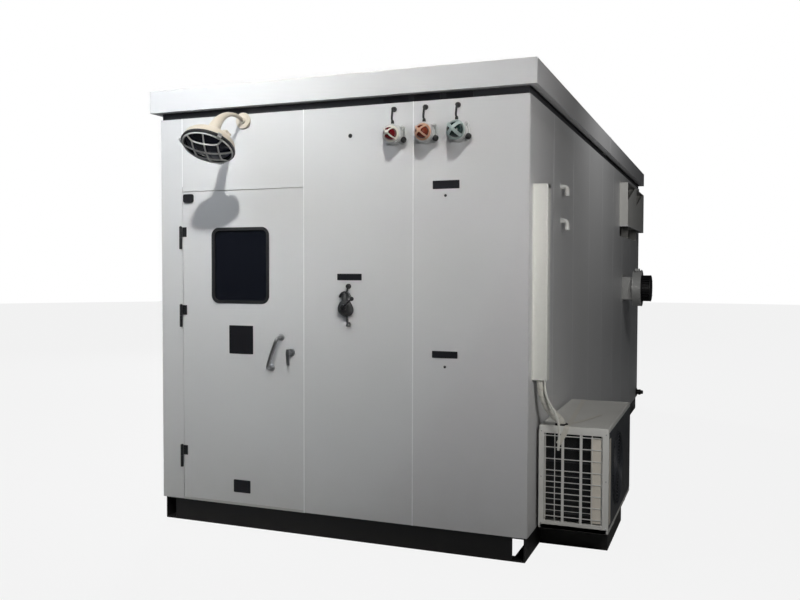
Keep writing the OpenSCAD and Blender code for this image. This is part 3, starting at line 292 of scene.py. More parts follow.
def bolt(place, radius=0.008, height=0.005):
    """A round washer with a six-sided head on it."""
    return [lathe([(radius, 0), (radius, height * 0.3)], place, 20),
            prism(circle(radius * 0.72, 6), height * 0.3, height, place)]


def screw(place, radius=0.005):
    """A domed screw head: height falls with the square of the radius."""
    r = np.linspace(radius, 0.0, 5)[:-1]
    return [lathe(np.column_stack([r, radius * 0.5 * (1 - (r / radius) ** 2) + 0.0004]), place, 16)]


def piece(name, slot, shapes, look=None, body="shelter", bevel=0.0, stands_for=(), sharp=35.0, marks=None):
    """Makes one piece from shapes, with its faces outwards, its finish, its body and the nodes it replaces.
    Its look is the finish of its slot unless another is named."""
    starts = np.cumsum([0] + [len(v) for v, _ in shapes])
    points = np.concatenate([v for v, _ in shapes])
    faces = [[i + start for i in face] for (_, fs), start in zip(shapes, starts) for face in fs]
    mesh = bpy.data.meshes.new(name)
    mesh.from_pydata(points.tolist(), [], faces)
    if marks is not None:
        mesh.attributes.new("lap", "FLOAT", "POINT").data.foreach_set("value", marks.astype(np.float32))
    tidy = bmesh.new()
    tidy.from_mesh(mesh)
    bmesh.ops.remove_doubles(tidy, verts=tidy.verts, dist=1e-6)
    bmesh.ops.recalc_face_normals(tidy, faces=tidy.faces)
    tidy.to_mesh(mesh)
    tidy.free()
    mesh.shade_smooth()
    mesh.set_sharp_from_angle(angle=math.radians(sharp))
    mesh.materials.append(FINISHES[look or slot])
    thing = bpy.data.objects.new(name, mesh)
    bpy.context.scene.collection.objects.link(thing)
    if bevel:
        edge = thing.modifiers.new("Edges", "BEVEL")
        edge.width, edge.segments, edge.limit_method, edge.angle_limit = bevel, 2, "ANGLE", math.radians(40)
    even = thing.modifiers.new("Shading", "WEIGHTED_NORMAL")
    even.keep_sharp = True
    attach(thing, body)
    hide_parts(*stands_for)
    return thing


# ---------- Effects shared by the finishes ----------

def effect(name, inputs, outputs):
    """An empty node group with named sockets: the tree, the outputs of its input node, its output's inputs."""
    tree = bpy.data.node_groups.new(name, "ShaderNodeTree")
    for label, kind, default in inputs:
        socket = tree.interface.new_socket(name=label, in_out="INPUT", socket_type=kind)
        socket.default_value = default
    for label, kind in outputs:
        tree.interface.new_socket(name=label, in_out="OUTPUT", socket_type=kind)
    return tree, tree.nodes.new("NodeGroupInput").outputs, tree.nodes.new("NodeGroupOutput").inputs


def add(tree, kind, links=(), **settings):
    """Adds a node, sets it, and links or sets the sockets given as (socket, source or value)."""
    node = tree.nodes.new(kind)
    for key, value in settings.items():
        setattr(node, key, value)
    for socket, source in links:
        if isinstance(source, bpy.types.NodeSocket):
            tree.links.new(source, node.inputs[socket])
        else:
            node.inputs[socket].default_value = source
    return node


def reckon(tree, operation, a, b, clamp=False):
    """One arithmetic node on two numbers."""
    return add(tree, "ShaderNodeMath", ((0, a), (1, b)), operation=operation, use_clamp=clamp).outputs[0]


def noise(tree, place, scale, detail=2.0):
    """A noise value between 0 and 1."""
    return add(tree, "ShaderNodeTexNoise",
               (("Vector", place), ("Scale", scale), ("Detail", detail))).outputs[0]


def mixed(tree, factor, a, b):
    """A colour between two others."""
    node = add(tree, "ShaderNodeMix", data_type="RGBA")
    for socket, value in ((node.inputs[0], factor), (node.inputs[6], a), (node.inputs[7], b)):
        if isinstance(value, bpy.types.NodeSocket):
            tree.links.new(value, socket)
        else:
            socket.default_value = value
    return node.outputs[2]


def scaled_colour(tree, source, value):
    """A colour times a number."""
    node = add(tree, "ShaderNodeVectorMath", ((0, source), ("Scale", value)), operation="SCALE")
    return node.outputs[0]


def paint_film():
    """Sprayed paint: slow clouds change the colour a little, orange peel gives the height, gloss varies."""
    tree, i, o = effect("Paint film", (("Place", "NodeSocketVector", (0, 0, 0)),
                                       ("Colour", "NodeSocketColor", (0.8, 0.8, 0.8, 1)),
                                       ("Clouds", "NodeSocketFloat", 0.05),
                                       ("Peel", "NodeSocketFloat", 180.0),
                                       ("Gloss", "NodeSocketFloat", 0.4),
                                       ("Gloss spread", "NodeSocketFloat", 0.08)),
                        (("Colour", "NodeSocketColor"), ("Roughness", "NodeSocketFloat"),
                         ("Height", "NodeSocketFloat")))
    cloud = reckon(tree, "SUBTRACT", noise(tree, i["Place"], 1.7, 4.0), 0.5)
    shade = reckon(tree, "MULTIPLY_ADD", cloud, i["Clouds"])
    shade.node.inputs[2].default_value = 1.0
    tree.links.new(scaled_colour(tree, i["Colour"], shade), o["Colour"])
    rough = reckon(tree, "MULTIPLY", reckon(tree, "SUBTRACT", noise(tree, i["Place"], 7.0, 3.0), 0.5),
                   i["Gloss spread"])
    tree.links.new(reckon(tree, "ADD", rough, i["Gloss"], True), o["Roughness"])
    tree.links.new(noise(tree, i["Place"], i["Peel"], 2.0), o["Height"])
    return tree


def settled_dust():
    """Dust that fades upwards to its reach and gathers on faces that point up, broken by noise."""
    tree, i, o = effect("Settled dust", (("Place", "NodeSocketVector", (0, 0, 0)),
                                         ("Colour", "NodeSocketColor", (0.8, 0.8, 0.8, 1)),
                                         ("Dust", "NodeSocketColor", (0.3, 0.28, 0.24, 1)),
                                         ("Reach", "NodeSocketFloat", 0.6),
                                         ("Amount", "NodeSocketFloat", 0.3)),
                        (("Colour", "NodeSocketColor"), ("Mask", "NodeSocketFloat")))
    z = add(tree, "ShaderNodeSeparateXYZ", ((0, i["Place"]),)).outputs[2]
    low = reckon(tree, "SUBTRACT", 1.0, reckon(tree, "DIVIDE", z, i["Reach"]), True)
    low = reckon(tree, "POWER", low, 2.0)
    normal = add(tree, "ShaderNodeNewGeometry").outputs["Normal"]
    up = add(tree, "ShaderNodeSeparateXYZ", ((0, normal),)).outputs[2]
    up = reckon(tree, "MULTIPLY", reckon(tree, "MAXIMUM", up, 0.0), 0.5)
    mask = reckon(tree, "MULTIPLY", reckon(tree, "MAXIMUM", low, up), noise(tree, i["Place"], 5.0, 6.0))
    mask = reckon(tree, "MULTIPLY", mask, i["Amount"], True)
    tree.links.new(mixed(tree, mask, i["Colour"], i["Dust"]), o["Colour"])
    tree.links.new(mask, o["Mask"])
    return tree


def grain():
    """Cast or moulded surface: fine cells and noise give the height, and the colour darkens in the pits."""
    tree, i, o = effect("Grain", (("Place", "NodeSocketVector", (0, 0, 0)),
                                  ("Colour", "NodeSocketColor", (0.5, 0.5, 0.5, 1)),
                                  ("Size", "NodeSocketFloat", 400.0), ("Depth", "NodeSocketFloat", 0.2),
                                  ("Gloss", "NodeSocketFloat", 0.5)),
                        (("Colour", "NodeSocketColor"), ("Roughness", "NodeSocketFloat"),
                         ("Height", "NodeSocketFloat")))
    cells = add(tree, "ShaderNodeTexVoronoi",
                (("Vector", i["Place"]), ("Scale", i["Size"]))).outputs["Distance"]
    blend = reckon(tree, "MULTIPLY", reckon(tree, "ADD", cells, noise(tree, i["Place"], 35.0, 4.0)), 0.5)
    shade = reckon(tree, "ADD", reckon(tree, "MULTIPLY", reckon(tree, "SUBTRACT", blend, 0.5), i["Depth"]),
                   1.0)
    tree.links.new(scaled_colour(tree, i["Colour"], shade), o["Colour"])
    tree.links.new(reckon(tree, "ADD", reckon(tree, "MULTIPLY", reckon(tree, "SUBTRACT", blend, 0.5), 0.25),
                          i["Gloss"], True), o["Roughness"])
    tree.links.new(blend, o["Height"])
    return tree


def brushed():
    """Brushed metal: noise drawn out along one axis gives fine lines in gloss and height."""
    tree, i, o = effect("Brushed", (("Place", "NodeSocketVector", (0, 0, 0)),
                                    ("Colour", "NodeSocketColor", (0.6, 0.6, 0.6, 1)),
                                    ("Stretch", "NodeSocketVector", (900, 900, 12)),
                                    ("Gloss", "NodeSocketFloat", 0.3)),
                        (("Colour", "NodeSocketColor"), ("Roughness", "NodeSocketFloat"),
                         ("Height", "NodeSocketFloat")))
    drawn = add(tree, "ShaderNodeVectorMath", ((0, i["Place"]), (1, i["Stretch"])),
                operation="MULTIPLY").outputs[0]
    lines = noise(tree, drawn, 1.0, 3.0)
    shade = reckon(tree, "ADD", reckon(tree, "MULTIPLY", lines, 0.16), 0.92)
    tree.links.new(scaled_colour(tree, i["Colour"], shade), o["Colour"])
    tree.links.new(reckon(tree, "ADD", reckon(tree, "MULTIPLY", lines, 0.22), i["Gloss"], True),
                   o["Roughness"])
    tree.links.new(lines, o["Height"])
    return tree


# ---------- Finishes ----------

EFFECTS = {}
FINISHES = {}


def finish(name, effect_name, colour_value, values=(), bump=0.15, depth=0.0004, dust=0.0, reach=0.7,
           **shader):
    """A material: a shared effect for colour, gloss and height, dust if asked, and plain shader values."""
    material = bpy.data.materials.new(name)
    material.use_nodes = True
    tree = material.node_tree
    surface = tree.nodes["Principled BSDF"]
    place = add(tree, "ShaderNodeTexCoord").outputs["Object"]
    film = tree.nodes.new("ShaderNodeGroup")
    film.node_tree = EFFECTS[effect_name]
    tree.links.new(place, film.inputs["Place"])
    film.inputs["Colour"].default_value = (*colour_value, 1.0)
    for socket, value in dict(values).items():
        film.inputs[socket].default_value = value
    shown = film.outputs["Colour"]
    if dust:
        over = tree.nodes.new("ShaderNodeGroup")
        over.node_tree = EFFECTS["dust"]
        tree.links.new(place, over.inputs["Place"])
        tree.links.new(shown, over.inputs["Colour"])
        over.inputs["Dust"].default_value = (*bpy.context.scene.shelter_colours.dust, 1.0)
        over.inputs["Reach"].default_value, over.inputs["Amount"].default_value = reach, dust
        shown = over.outputs["Colour"]
    tree.links.new(shown, surface.inputs["Base Color"])
    tree.links.new(film.outputs["Roughness"], surface.inputs["Roughness"])
    relief = add(tree, "ShaderNodeBump",
                 (("Strength", bump), ("Distance", depth), ("Height", film.outputs["Height"])))
    tree.links.new(relief.outputs[0], surface.inputs["Normal"])
    for socket, value in shader.items():
        surface.inputs[socket.replace("_", " ")].default_value = value
    FINISHES[name] = material
    return material


class SHELTER_OT_finishes(bpy.types.Operator):
    """Makes the finishes and gives every CAD node the one of its slot"""
    bl_idname = "shelter.finishes"
    bl_label = "Finishes"

    def execute(self, context):
        c = context.scene.shelter_colours
        EFFECTS.update(paint=paint_film(), dust=settled_dust(), grain=grain(), brushed=brushed())
        finish("wall_paint", "paint", c.wall, {"Clouds": 0.05, "Gloss": 0.40}, dust=0.45, reach=0.75,
               Specular_IOR_Level=0.5)
        finish("roof_paint", "paint", c.roof, {"Clouds": 0.05, "Gloss": 0.36}, dust=0.25, reach=0.1)
        # Painted shade: the rail's near-black paint stands in for the shadow under the roof cap's overhang.
        finish("rail_paint", "paint", c.rail, {"Clouds": 0.3, "Gloss": 0.42})
        finish("base_paint", "paint", c.base, {"Clouds": 0.5, "Gloss": 0.5}, dust=0.06, reach=0.2)
        finish("lining_panel", "paint", (0.66, 0.66, 0.63), {"Clouds": 0.05, "Gloss": 0.5})
        finish("floor_vinyl", "grain", (0.16, 0.17, 0.18), {"Size": 90.0, "Depth": 0.5}, dust=0.3, reach=0.3)
        finish("frame_steel", "paint", (0.55, 0.55, 0.54), {"Gloss": 0.38}, dust=0.3)
        finish("seal_rubber", "grain", (0.014, 0.014, 0.015), {"Gloss": 0.6}, bump=0.3)
        finish("hinge_black", "paint", (0.016, 0.016, 0.018), {"Gloss": 0.34, "Clouds": 0.3})
        finish("plate_black", "grain", (0.010, 0.010, 0.013), {"Gloss": 0.42, "Depth": 0.8, "Size": 900.0})
        finish("window_glass", "paint", (0.012, 0.014, 0.022),
               {"Gloss": 0.06, "Gloss spread": 0.03, "Peel": 6.0},
               bump=0.02, Transmission_Weight=0.35, IOR=1.5)
        finish("handle_steel", "brushed", (0.50, 0.51, 0.52), {"Gloss": 0.22}, Metallic=1.0)
        finish("lever_zinc", "grain", (0.30, 0.31, 0.32), {"Gloss": 0.34, "Size": 500.0}, Metallic=0.9)
        finish("lamp_enamel", "paint", c.enamel, {"Gloss": 0.30, "Clouds": 0.12, "Peel": 120.0}, dust=0.2,
               reach=0.0)
        finish("lamp_glass", "paint", (0.010, 0.014, 0.040),
               {"Gloss": 0.05, "Gloss spread": 0.02, "Peel": 9.0},
               bump=0.02, Transmission_Weight=0.45, IOR=1.45)
        finish("guard_wire", "paint", (0.78, 0.78, 0.77), {"Gloss": 0.35, "Clouds": 0.1})
        finish("lamp_led", "grain", (0.70, 0.66, 0.50), {"Size": 160.0, "Depth": 0.6, "Gloss": 0.3})
        finish("cast_alloy", "grain", (0.56, 0.57, 0.57), {"Size": 420.0, "Depth": 0.25, "Gloss": 0.38},
               bump=0.35, Metallic=0.25)
        for name, tint in (("red", (0.20, 0.006, 0.010)), ("amber", (0.24, 0.035, 0.012)),
                           ("green", (0.010, 0.035, 0.032))):
            finish(f"lens_{name}", "paint", tint, {"Gloss": 0.08, "Clouds": 0.5, "Peel": 60.0}, bump=0.1,
                   Transmission_Weight=0.25, IOR=1.49)
        finish("cable_black", "grain", (0.010, 0.010, 0.011), {"Gloss": 0.46, "Size": 700.0}, bump=0.3)
        finish("raceway_white", "paint", (0.84, 0.85, 0.81), {"Gloss": 0.40, "Clouds": 0.06}, dust=0.15)
        finish("hose_white", "grain", (0.80, 0.80, 0.75), {"Gloss": 0.38, "Size": 300.0, "Depth": 0.1},
               bump=0.2)
        finish("vent_white", "grain", (0.70, 0.71, 0.69), {"Gloss": 0.35, "Size": 500.0, "Depth": 0.1})
        finish("hood_paint", "paint", (0.86, 0.86, 0.83), {"Gloss": 0.38, "Clouds": 0.08}, dust=0.2,
               reach=0.0)
        finish("fan_paint", "paint", (0.58, 0.59, 0.59), {"Gloss": 0.36, "Clouds": 0.25, "Peel": 120.0},
               dust=0.3,
               reach=0.0, Metallic=0.2)
        finish("motor_iron", "grain", (0.020, 0.020, 0.022), {"Gloss": 0.38, "Size": 260.0, "Depth": 0.5},
               bump=0.4)
        finish("unit_paint", "paint", c.unit, {"Gloss": 0.42, "Clouds": 0.10}, dust=0.35, reach=0.5)
        # Painted shade: a near-black blue-grey on the outdoor unit's side and fan guard, so that they read as
        # in shade.
        finish("unit_side_painted_shade", "paint", (0.040, 0.045, 0.056), {"Gloss": 0.45, "Clouds": 0.4}, dust=0.2,
               reach=0.3)
        # Painted shade: the coil's near-black colour stands in for the deep shade behind the end guard.
        finish("coil_fins", "brushed", (0.10, 0.105, 0.11), {"Stretch": (4, 4, 900), "Gloss": 0.35},
               Metallic=0.8)
        finish("fan_plastic", "grain", (0.035, 0.036, 0.04), {"Gloss": 0.4, "Size": 600.0})
        finish("machine_steel", "grain", (0.09, 0.09, 0.10), {"Gloss": 0.4, "Size": 200.0}, Metallic=0.5)
        finish("cabinet_paint", "paint", (0.48, 0.49, 0.47), {"Gloss": 0.4, "Peel": 260.0}, bump=0.3)
        finish("light_diffuser", "paint", (0.80, 0.80, 0.78), {"Gloss": 0.45})
        finish("tray_zinc", "grain", (0.42, 0.43, 0.44), {"Gloss": 0.38, "Size": 60.0, "Depth": 0.35},
               Metallic=0.9)
        finish("pipe_tape", "grain", (0.74, 0.73, 0.67), {"Gloss": 0.45, "Size": 240.0, "Depth": 0.2},
               bump=0.3)
        finish("sealant", "grain", (0.86, 0.87, 0.88), {"Gloss": 0.45, "Size": 300.0, "Depth": 0.08},
               bump=0.2)
        for name, tint in (("cream", (0.72, 0.70, 0.64)), ("peach", (0.62, 0.36, 0.24)),
                           ("sage", (0.38, 0.46, 0.45))):
            finish(f"strap_{name}", "grain", tint, {"Gloss": 0.34, "Size": 420.0}, bump=0.3)
        finish("switch_iron", "grain", (0.060, 0.062, 0.064), {"Gloss": 0.36, "Size": 350.0, "Depth": 0.6},
               bump=0.4,
               Metallic=0.35)
        finish("switch_arm", "grain", (0.030, 0.030, 0.032), {"Gloss": 0.28, "Size": 500.0}, Metallic=0.5)
        finish("guard_enamel", "paint", (0.80, 0.80, 0.78), {"Gloss": 0.36, "Clouds": 0.12}, dust=0.2,
               reach=0.4)
        finish("reveal_beige", "grain", (0.80, 0.75, 0.66), {"Gloss": 0.5, "Size": 120.0, "Depth": 0.15},
               bump=0.2)
        finish("shadow_black", "grain", (0.008, 0.008, 0.010), {"Gloss": 0.55, "Size": 500.0})
        for node, slot in SLOT_OF.items():
            mesh = frame["nodes"][node].data
            mesh.materials.clear()
            mesh.materials.append(FINISHES[slot])
        return {"FINISHED"}


# ---------- Studio ----------

def lamp(name, at, target, size, power, tint, spread=180.0):
    """A soft rectangular light aimed at a point, with its spread in degrees; the camera doesn't see it."""
    data = bpy.data.lights.new(name, "AREA")
    data.shape, data.size, data.size_y = "RECTANGLE", size[0], size[1]
    data.energy, data.color, data.spread = power, tint, math.radians(spread)
    thing = bpy.data.objects.new(name, data)
    aim = np.array(target, float) - np.array(at, float)
    flat = math.hypot(aim[0], aim[1])
    thing.location = at
    thing.rotation_euler = (math.atan2(flat, -aim[2]), 0.0, math.atan2(aim[1], aim[0]) - math.pi / 2)
    thing.visible_camera = False
    bpy.context.scene.collection.objects.link(thing)


def floor_finish():
    """Pale floor: matt paint, brightened for the camera so that it stays pale far from the lights."""
    material = finish("studio_floor", "paint", (0.45, 0.45, 0.45), {"Clouds": 0.02, "Gloss": 0.8})
    tree = material.node_tree
    glow = add(tree, "ShaderNodeEmission", (("Color", (0.98, 0.98, 0.98, 1)), ("Strength", 1.0)))
    ray = add(tree, "ShaderNodeLightPath").outputs["Is Camera Ray"]
    share = reckon(tree, "MULTIPLY", ray, 0.9)
    both = add(tree, "ShaderNodeMixShader", ((0, share), (1, tree.nodes["Principled BSDF"].outputs[0]),
                                             (2, glow.outputs[0])))
    tree.links.new(both.outputs[0], tree.nodes["Material Output"].inputs[0])
    return material


class SHELTER_OT_studio(bpy.types.Operator):
    """Makes the camera, the soft lights, the surroundings and the pale floor"""
    bl_idname = "shelter.studio"
    bl_label = "Studio"

    def execute(self, context):
        s = context.scene.shelter_studio
        data = bpy.data.cameras.new("Camera")
        data.lens, data.sensor_width, data.clip_end = 38.1, 36.0, 200.0
        camera = bpy.data.objects.new("Camera", data)
        camera.location = (2.316, -7.717, 1.674)
        camera.rotation_mode = "QUATERNION"
        heading, dip, roll = 0.3733, 0.0343, 0.0022
        aim = Matrix.Rotation(heading, 3, "Z") @ Matrix.Rotation(math.pi / 2 - dip, 3, "X")
        camera.rotation_quaternion = (aim @ Matrix.Rotation(roll, 3, "Z")).to_quaternion()
        context.scene.collection.objects.link(camera)
        context.scene.camera = camera
        lamp("Key", (3.3, -10.4, 9.4), (-0.65, -3.0, 2.6), (0.7, 0.7), s.key, (1.0, 0.975, 0.94), 26.0)
        lamp("Sky", (-3.2, -7.5, 3.6), (-0.6, -3.0, 2.3), (2.5, 1.5), s.sky, (0.80, 0.88, 1.0))
        lamp("Flank", (2.75, -4.75, 2.3), (1.25, -2.4, 1.5), (0.7, 0.7), s.flank, (1.0, 0.98, 0.95))
        lamp("Wash", (-1.7, -4.6, 3.6), (-1.0, -3.0, 2.5), (1.6, 0.6), s.wash, (0.90, 0.95, 1.0))
        lamp("Crest", (2.7, -0.9, 3.5), (1.3, 1.7, 2.4), (0.5, 0.5), s.crest, (1.0, 0.99, 0.97))
        lamp("Back", (-6.0, 7.5, 5.0), (-0.6, 1.0, 1.4), (2.5, 2.5), s.back, (0.96, 0.98, 1.0))
        world = bpy.data.worlds.new("Surroundings")
        world.use_nodes = True
        tree = world.node_tree
        tree.nodes.clear()
        dim = add(tree, "ShaderNodeBackground", (("Color", (0.92, 0.95, 1.0, 1)), ("Strength", s.room)))
        seen = add(tree, "ShaderNodeBackground", (("Color", (1, 1, 1, 1)), ("Strength", 1.0)))
        ray = add(tree, "ShaderNodeLightPath")
        both = add(tree, "ShaderNodeMixShader", ((0, ray.outputs["Is Camera Ray"]), (1, dim.outputs[0]),
                                                 (2, seen.outputs[0])))
        out = add(tree, "ShaderNodeOutputWorld")
        tree.links.new(both.outputs[0], out.inputs[0])
        context.scene.world = world
        context.scene.view_settings.view_transform = "Standard"
        mesh = bpy.data.meshes.new("Floor")
        t = around(96)
        rings = np.array([0.0, 4.0, 8.0, 16.0, 40.0])
        points = np.stack([rings[:, None] * np.cos(t), rings[:, None] * np.sin(t), 0 * rings[:, None] * t],
                          -1)
        v, f = grid(points, (False, True))
        mesh.from_pydata(v.tolist(), [], f)
        mesh.materials.append(floor_finish())
        floor = bpy.data.objects.new("Floor", mesh)
        floor.location = (0, 0, -0.0005)
        context.scene.collection.objects.link(floor)
        return {"FINISHED"}


# ---------- Pipes on the right side ----------

HOSE_ROUTE = [
    (1.322, -2.886, 1.072), (1.322, -2.886, 1.044), (1.323, -2.887, 1.015), (1.326, -2.889, 0.985),
    (1.333, -2.889, 0.955), (1.344, -2.887, 0.928), (1.357, -2.882, 0.902), (1.371, -2.877, 0.876),
    (1.384, -2.872, 0.848), (1.394, -2.868, 0.818), (1.400, -2.865, 0.786), (1.402, -2.863, 0.754),
    (1.402, -2.862, 0.722), (1.401, -2.861, 0.692), (1.399, -2.861, 0.664), (1.397, -2.861, 0.640)]
BUNDLE_ROUTE = [
    (1.176, -2.862, 2.095), (1.225, -2.862, 2.095), (1.262, -2.862, 2.085), (1.284, -2.862, 2.062),
    (1.292, -2.862, 2.030), (1.293, -2.862, 1.800), (1.293, -2.862, 1.400), (1.293, -2.862, 1.080),
    (1.295, -2.861, 1.010), (1.306, -2.852, 0.945), (1.328, -2.828, 0.885), (1.358, -2.792, 0.835),
    (1.384, -2.758, 0.800), (1.394, -2.742, 0.774)]


class SHELTER_OT_drain_hose(bpy.types.Operator):
    """Makes the drain hose: a round tube on a smooth curve, open at its lower end"""
    bl_idname = "shelter.drain_hose"
    bl_label = "Drain hose"

    def execute(self, context):
        path = smooth(HOSE_ROUTE, 2)
        radius = 0.007
        hose = piece("drain_hose_tube", "hose_white",
                     [tube(path, radius, 24, (0, 1, 0.3),
                           bore=radius - context.scene.shelter_sizes.hose_wall)],
                     stands_for=["drain_hose"])
        return {"FINISHED"}


class SHELTER_OT_pipe_bundle(bpy.types.Operator):
    """Makes the wrapped pipes: the radius rises along each lap of the tape and steps down at the next"""
    bl_idname = "shelter.pipe_bundle"
    bl_label = "Pipe bundle"

    def execute(self, context):
        s = context.scene.shelter_sizes
        path, run = evenly(smooth(BUNDLE_ROUTE, 8), 0.0035)
        sides = 40
        t = around(sides)
        lap = (run[:, None] / s.tape_pitch + t / (2 * np.pi)) % 1.0
        bulge = 0.0008 * np.sin(run[:, None] * 31.0) * np.cos(2 * t + run[:, None] * 9.0)
        twist = s.tape_thickness * (lap - 1.0) + bulge
        marks = np.concatenate([lap[:1].ravel(), lap.ravel(), lap[-1:].ravel()])
        mark_laps(FINISHES["pipe_tape"])
        piece("refrigerant_bundle", "pipe_tape", [tube(path, 0.0262, sides, (0, 1, 0), twist=twist)],
              stands_for=["refrigerant_pipes"], sharp=60.0, marks=marks)
        cuff = upright(1.394, -2.742, 0.7705)
        piece("bundle_grommet", "seal_rubber",
              [lathe([(0.0265, -0.006), (0.038, -0.006), (0.038, 0.004), (0.034, 0.007), (0.0265, 0.007)],
                     cuff, 32, loop=True)])
        return {"FINISHED"}


def mark_laps(tape):
    """Makes the tape's cream cloth darker just before each lap, read from the lap attribute."""
    tree = tape.node_tree
    surface = tree.nodes["Principled BSDF"]
    lap = add(tree, "ShaderNodeAttribute", attribute_name="lap").outputs["Fac"]
    edge = reckon(tree, "MULTIPLY", reckon(tree, "POWER", lap, 10.0), 0.65)
    shown = surface.inputs["Base Color"].links[0].from_socket
    tree.links.new(mixed(tree, edge, shown, (0.22, 0.20, 0.16, 1.0)), surface.inputs["Base Color"])


# ---------- Walls and roof ----------

class SHELTER_OT_roof(bpy.types.Operator):
    """Makes the two folded roof caps: a profile of lip, fascia, top, fascia, lip drawn along the roof"""
    bl_idname = "shelter.roof"
    bl_label = "Roof"

    def execute(self, context):
        fold = context.scene.shelter_sizes.fold
        for half, y in (("front", -1.5253), ("rear", 1.5253)):
            wide, deep, low, high = 2.600, 3.0494, 2.715, 2.860
            q = np.radians(np.linspace(0.0, 90.0, 5))
            crown = [(fold * (1 - math.cos(b)), high - fold * (1 - math.sin(b)), fold) for b in q]
            loops = [(0.046, low + 0.002, 0.004), (0.046, low, 0.004), (0.0015, low, 0.0045),
                     (0.0, low + 0.0015, fold)]
            loops += crown + [(0.30, high, 0.02), (0.30, high - 0.002, 0.02), (0.008, high - 0.002, 0.004),
                              (0.002, high - 0.008, 0.004), (0.002, low + 0.002, 0.004)]
            rings = levels([(round_rect(wide - 2 * inset, deep - 2 * inset, max(r, 0.003)), z) for inset, z,
                            r in loops])
            v, f = grid(rings + np.array([0.0, y, 0.0]), (True, True))
            n = rings.shape[1]
            top, under = 9 * n, 10 * n
            f = f[:top] + f[under:] + [list(range(top, top + n)), list(range(under, under + n))]
            piece(f"roof_cap_{half}", "roof_paint", [(v, f)], stands_for=["roof_caps"], sharp=50.0)
        strip = [plates([((-1.3016, -0.012, 2.72), (-1.3, 0.012, 2.8616)),
                         ((1.3, -0.012, 2.72), (1.3016, 0.012, 2.8616)),
                         ((-1.3, -0.012, 2.86), (1.3, 0.012, 2.8616))])]
        piece("roof_joint_strip", "roof_paint", strip, bevel=0.0006)
        return {"FINISHED"}


class SHELTER_OT_sealant(bpy.types.Operator):
    """Makes the sealant beads along the panel joints: a half ellipse carried up each joint"""
    bl_idname = "shelter.sealant"
    bl_label = "Sealant"

    def execute(self, context):
        s = context.scene.shelter_sizes
        t = np.linspace(0.0, np.pi, 9)
        bead = np.stack([s.bead_width / 2 * np.cos(t), s.bead_height * np.sin(t) - 0.0004], -1)
        beads = []
        for x, z0 in ((-1.081, 2.226), (-0.179, 0.1455), (0.550, 0.1455)):
            beads.append(sweep([(x, FRONT, z0), (x, FRONT, 2.6745)], bead * (1, -1), (1, 0, 0)))
        for k in range(8):
            y = -3.0 + 0.693 + 0.726 * k if k else -2.307
            for x, way in ((SIDE, 1), (-SIDE, -1)):
                beads.append(sweep([(x, y, 0.1455), (x, y, 2.6745)], bead * (1, way), (0, 1, 0)))
        for x in (-0.625, 0.0, 0.625):
            beads.append(sweep([(x, 3.0, 0.1455), (x, 3.0, 2.6745)], bead, (1, 0, 0)))
        piece("joint_sealant", "wall_paint", beads, look="sealant", sharp=60.0)
        return {"FINISHED"}


# ---------- Floodlight ----------

LAMP_AT = place_at((-0.610, -3.3489, 2.5057), (1, 0, 0), (0, -0.8829, 0.4695), (0, -0.4695, -0.8829))


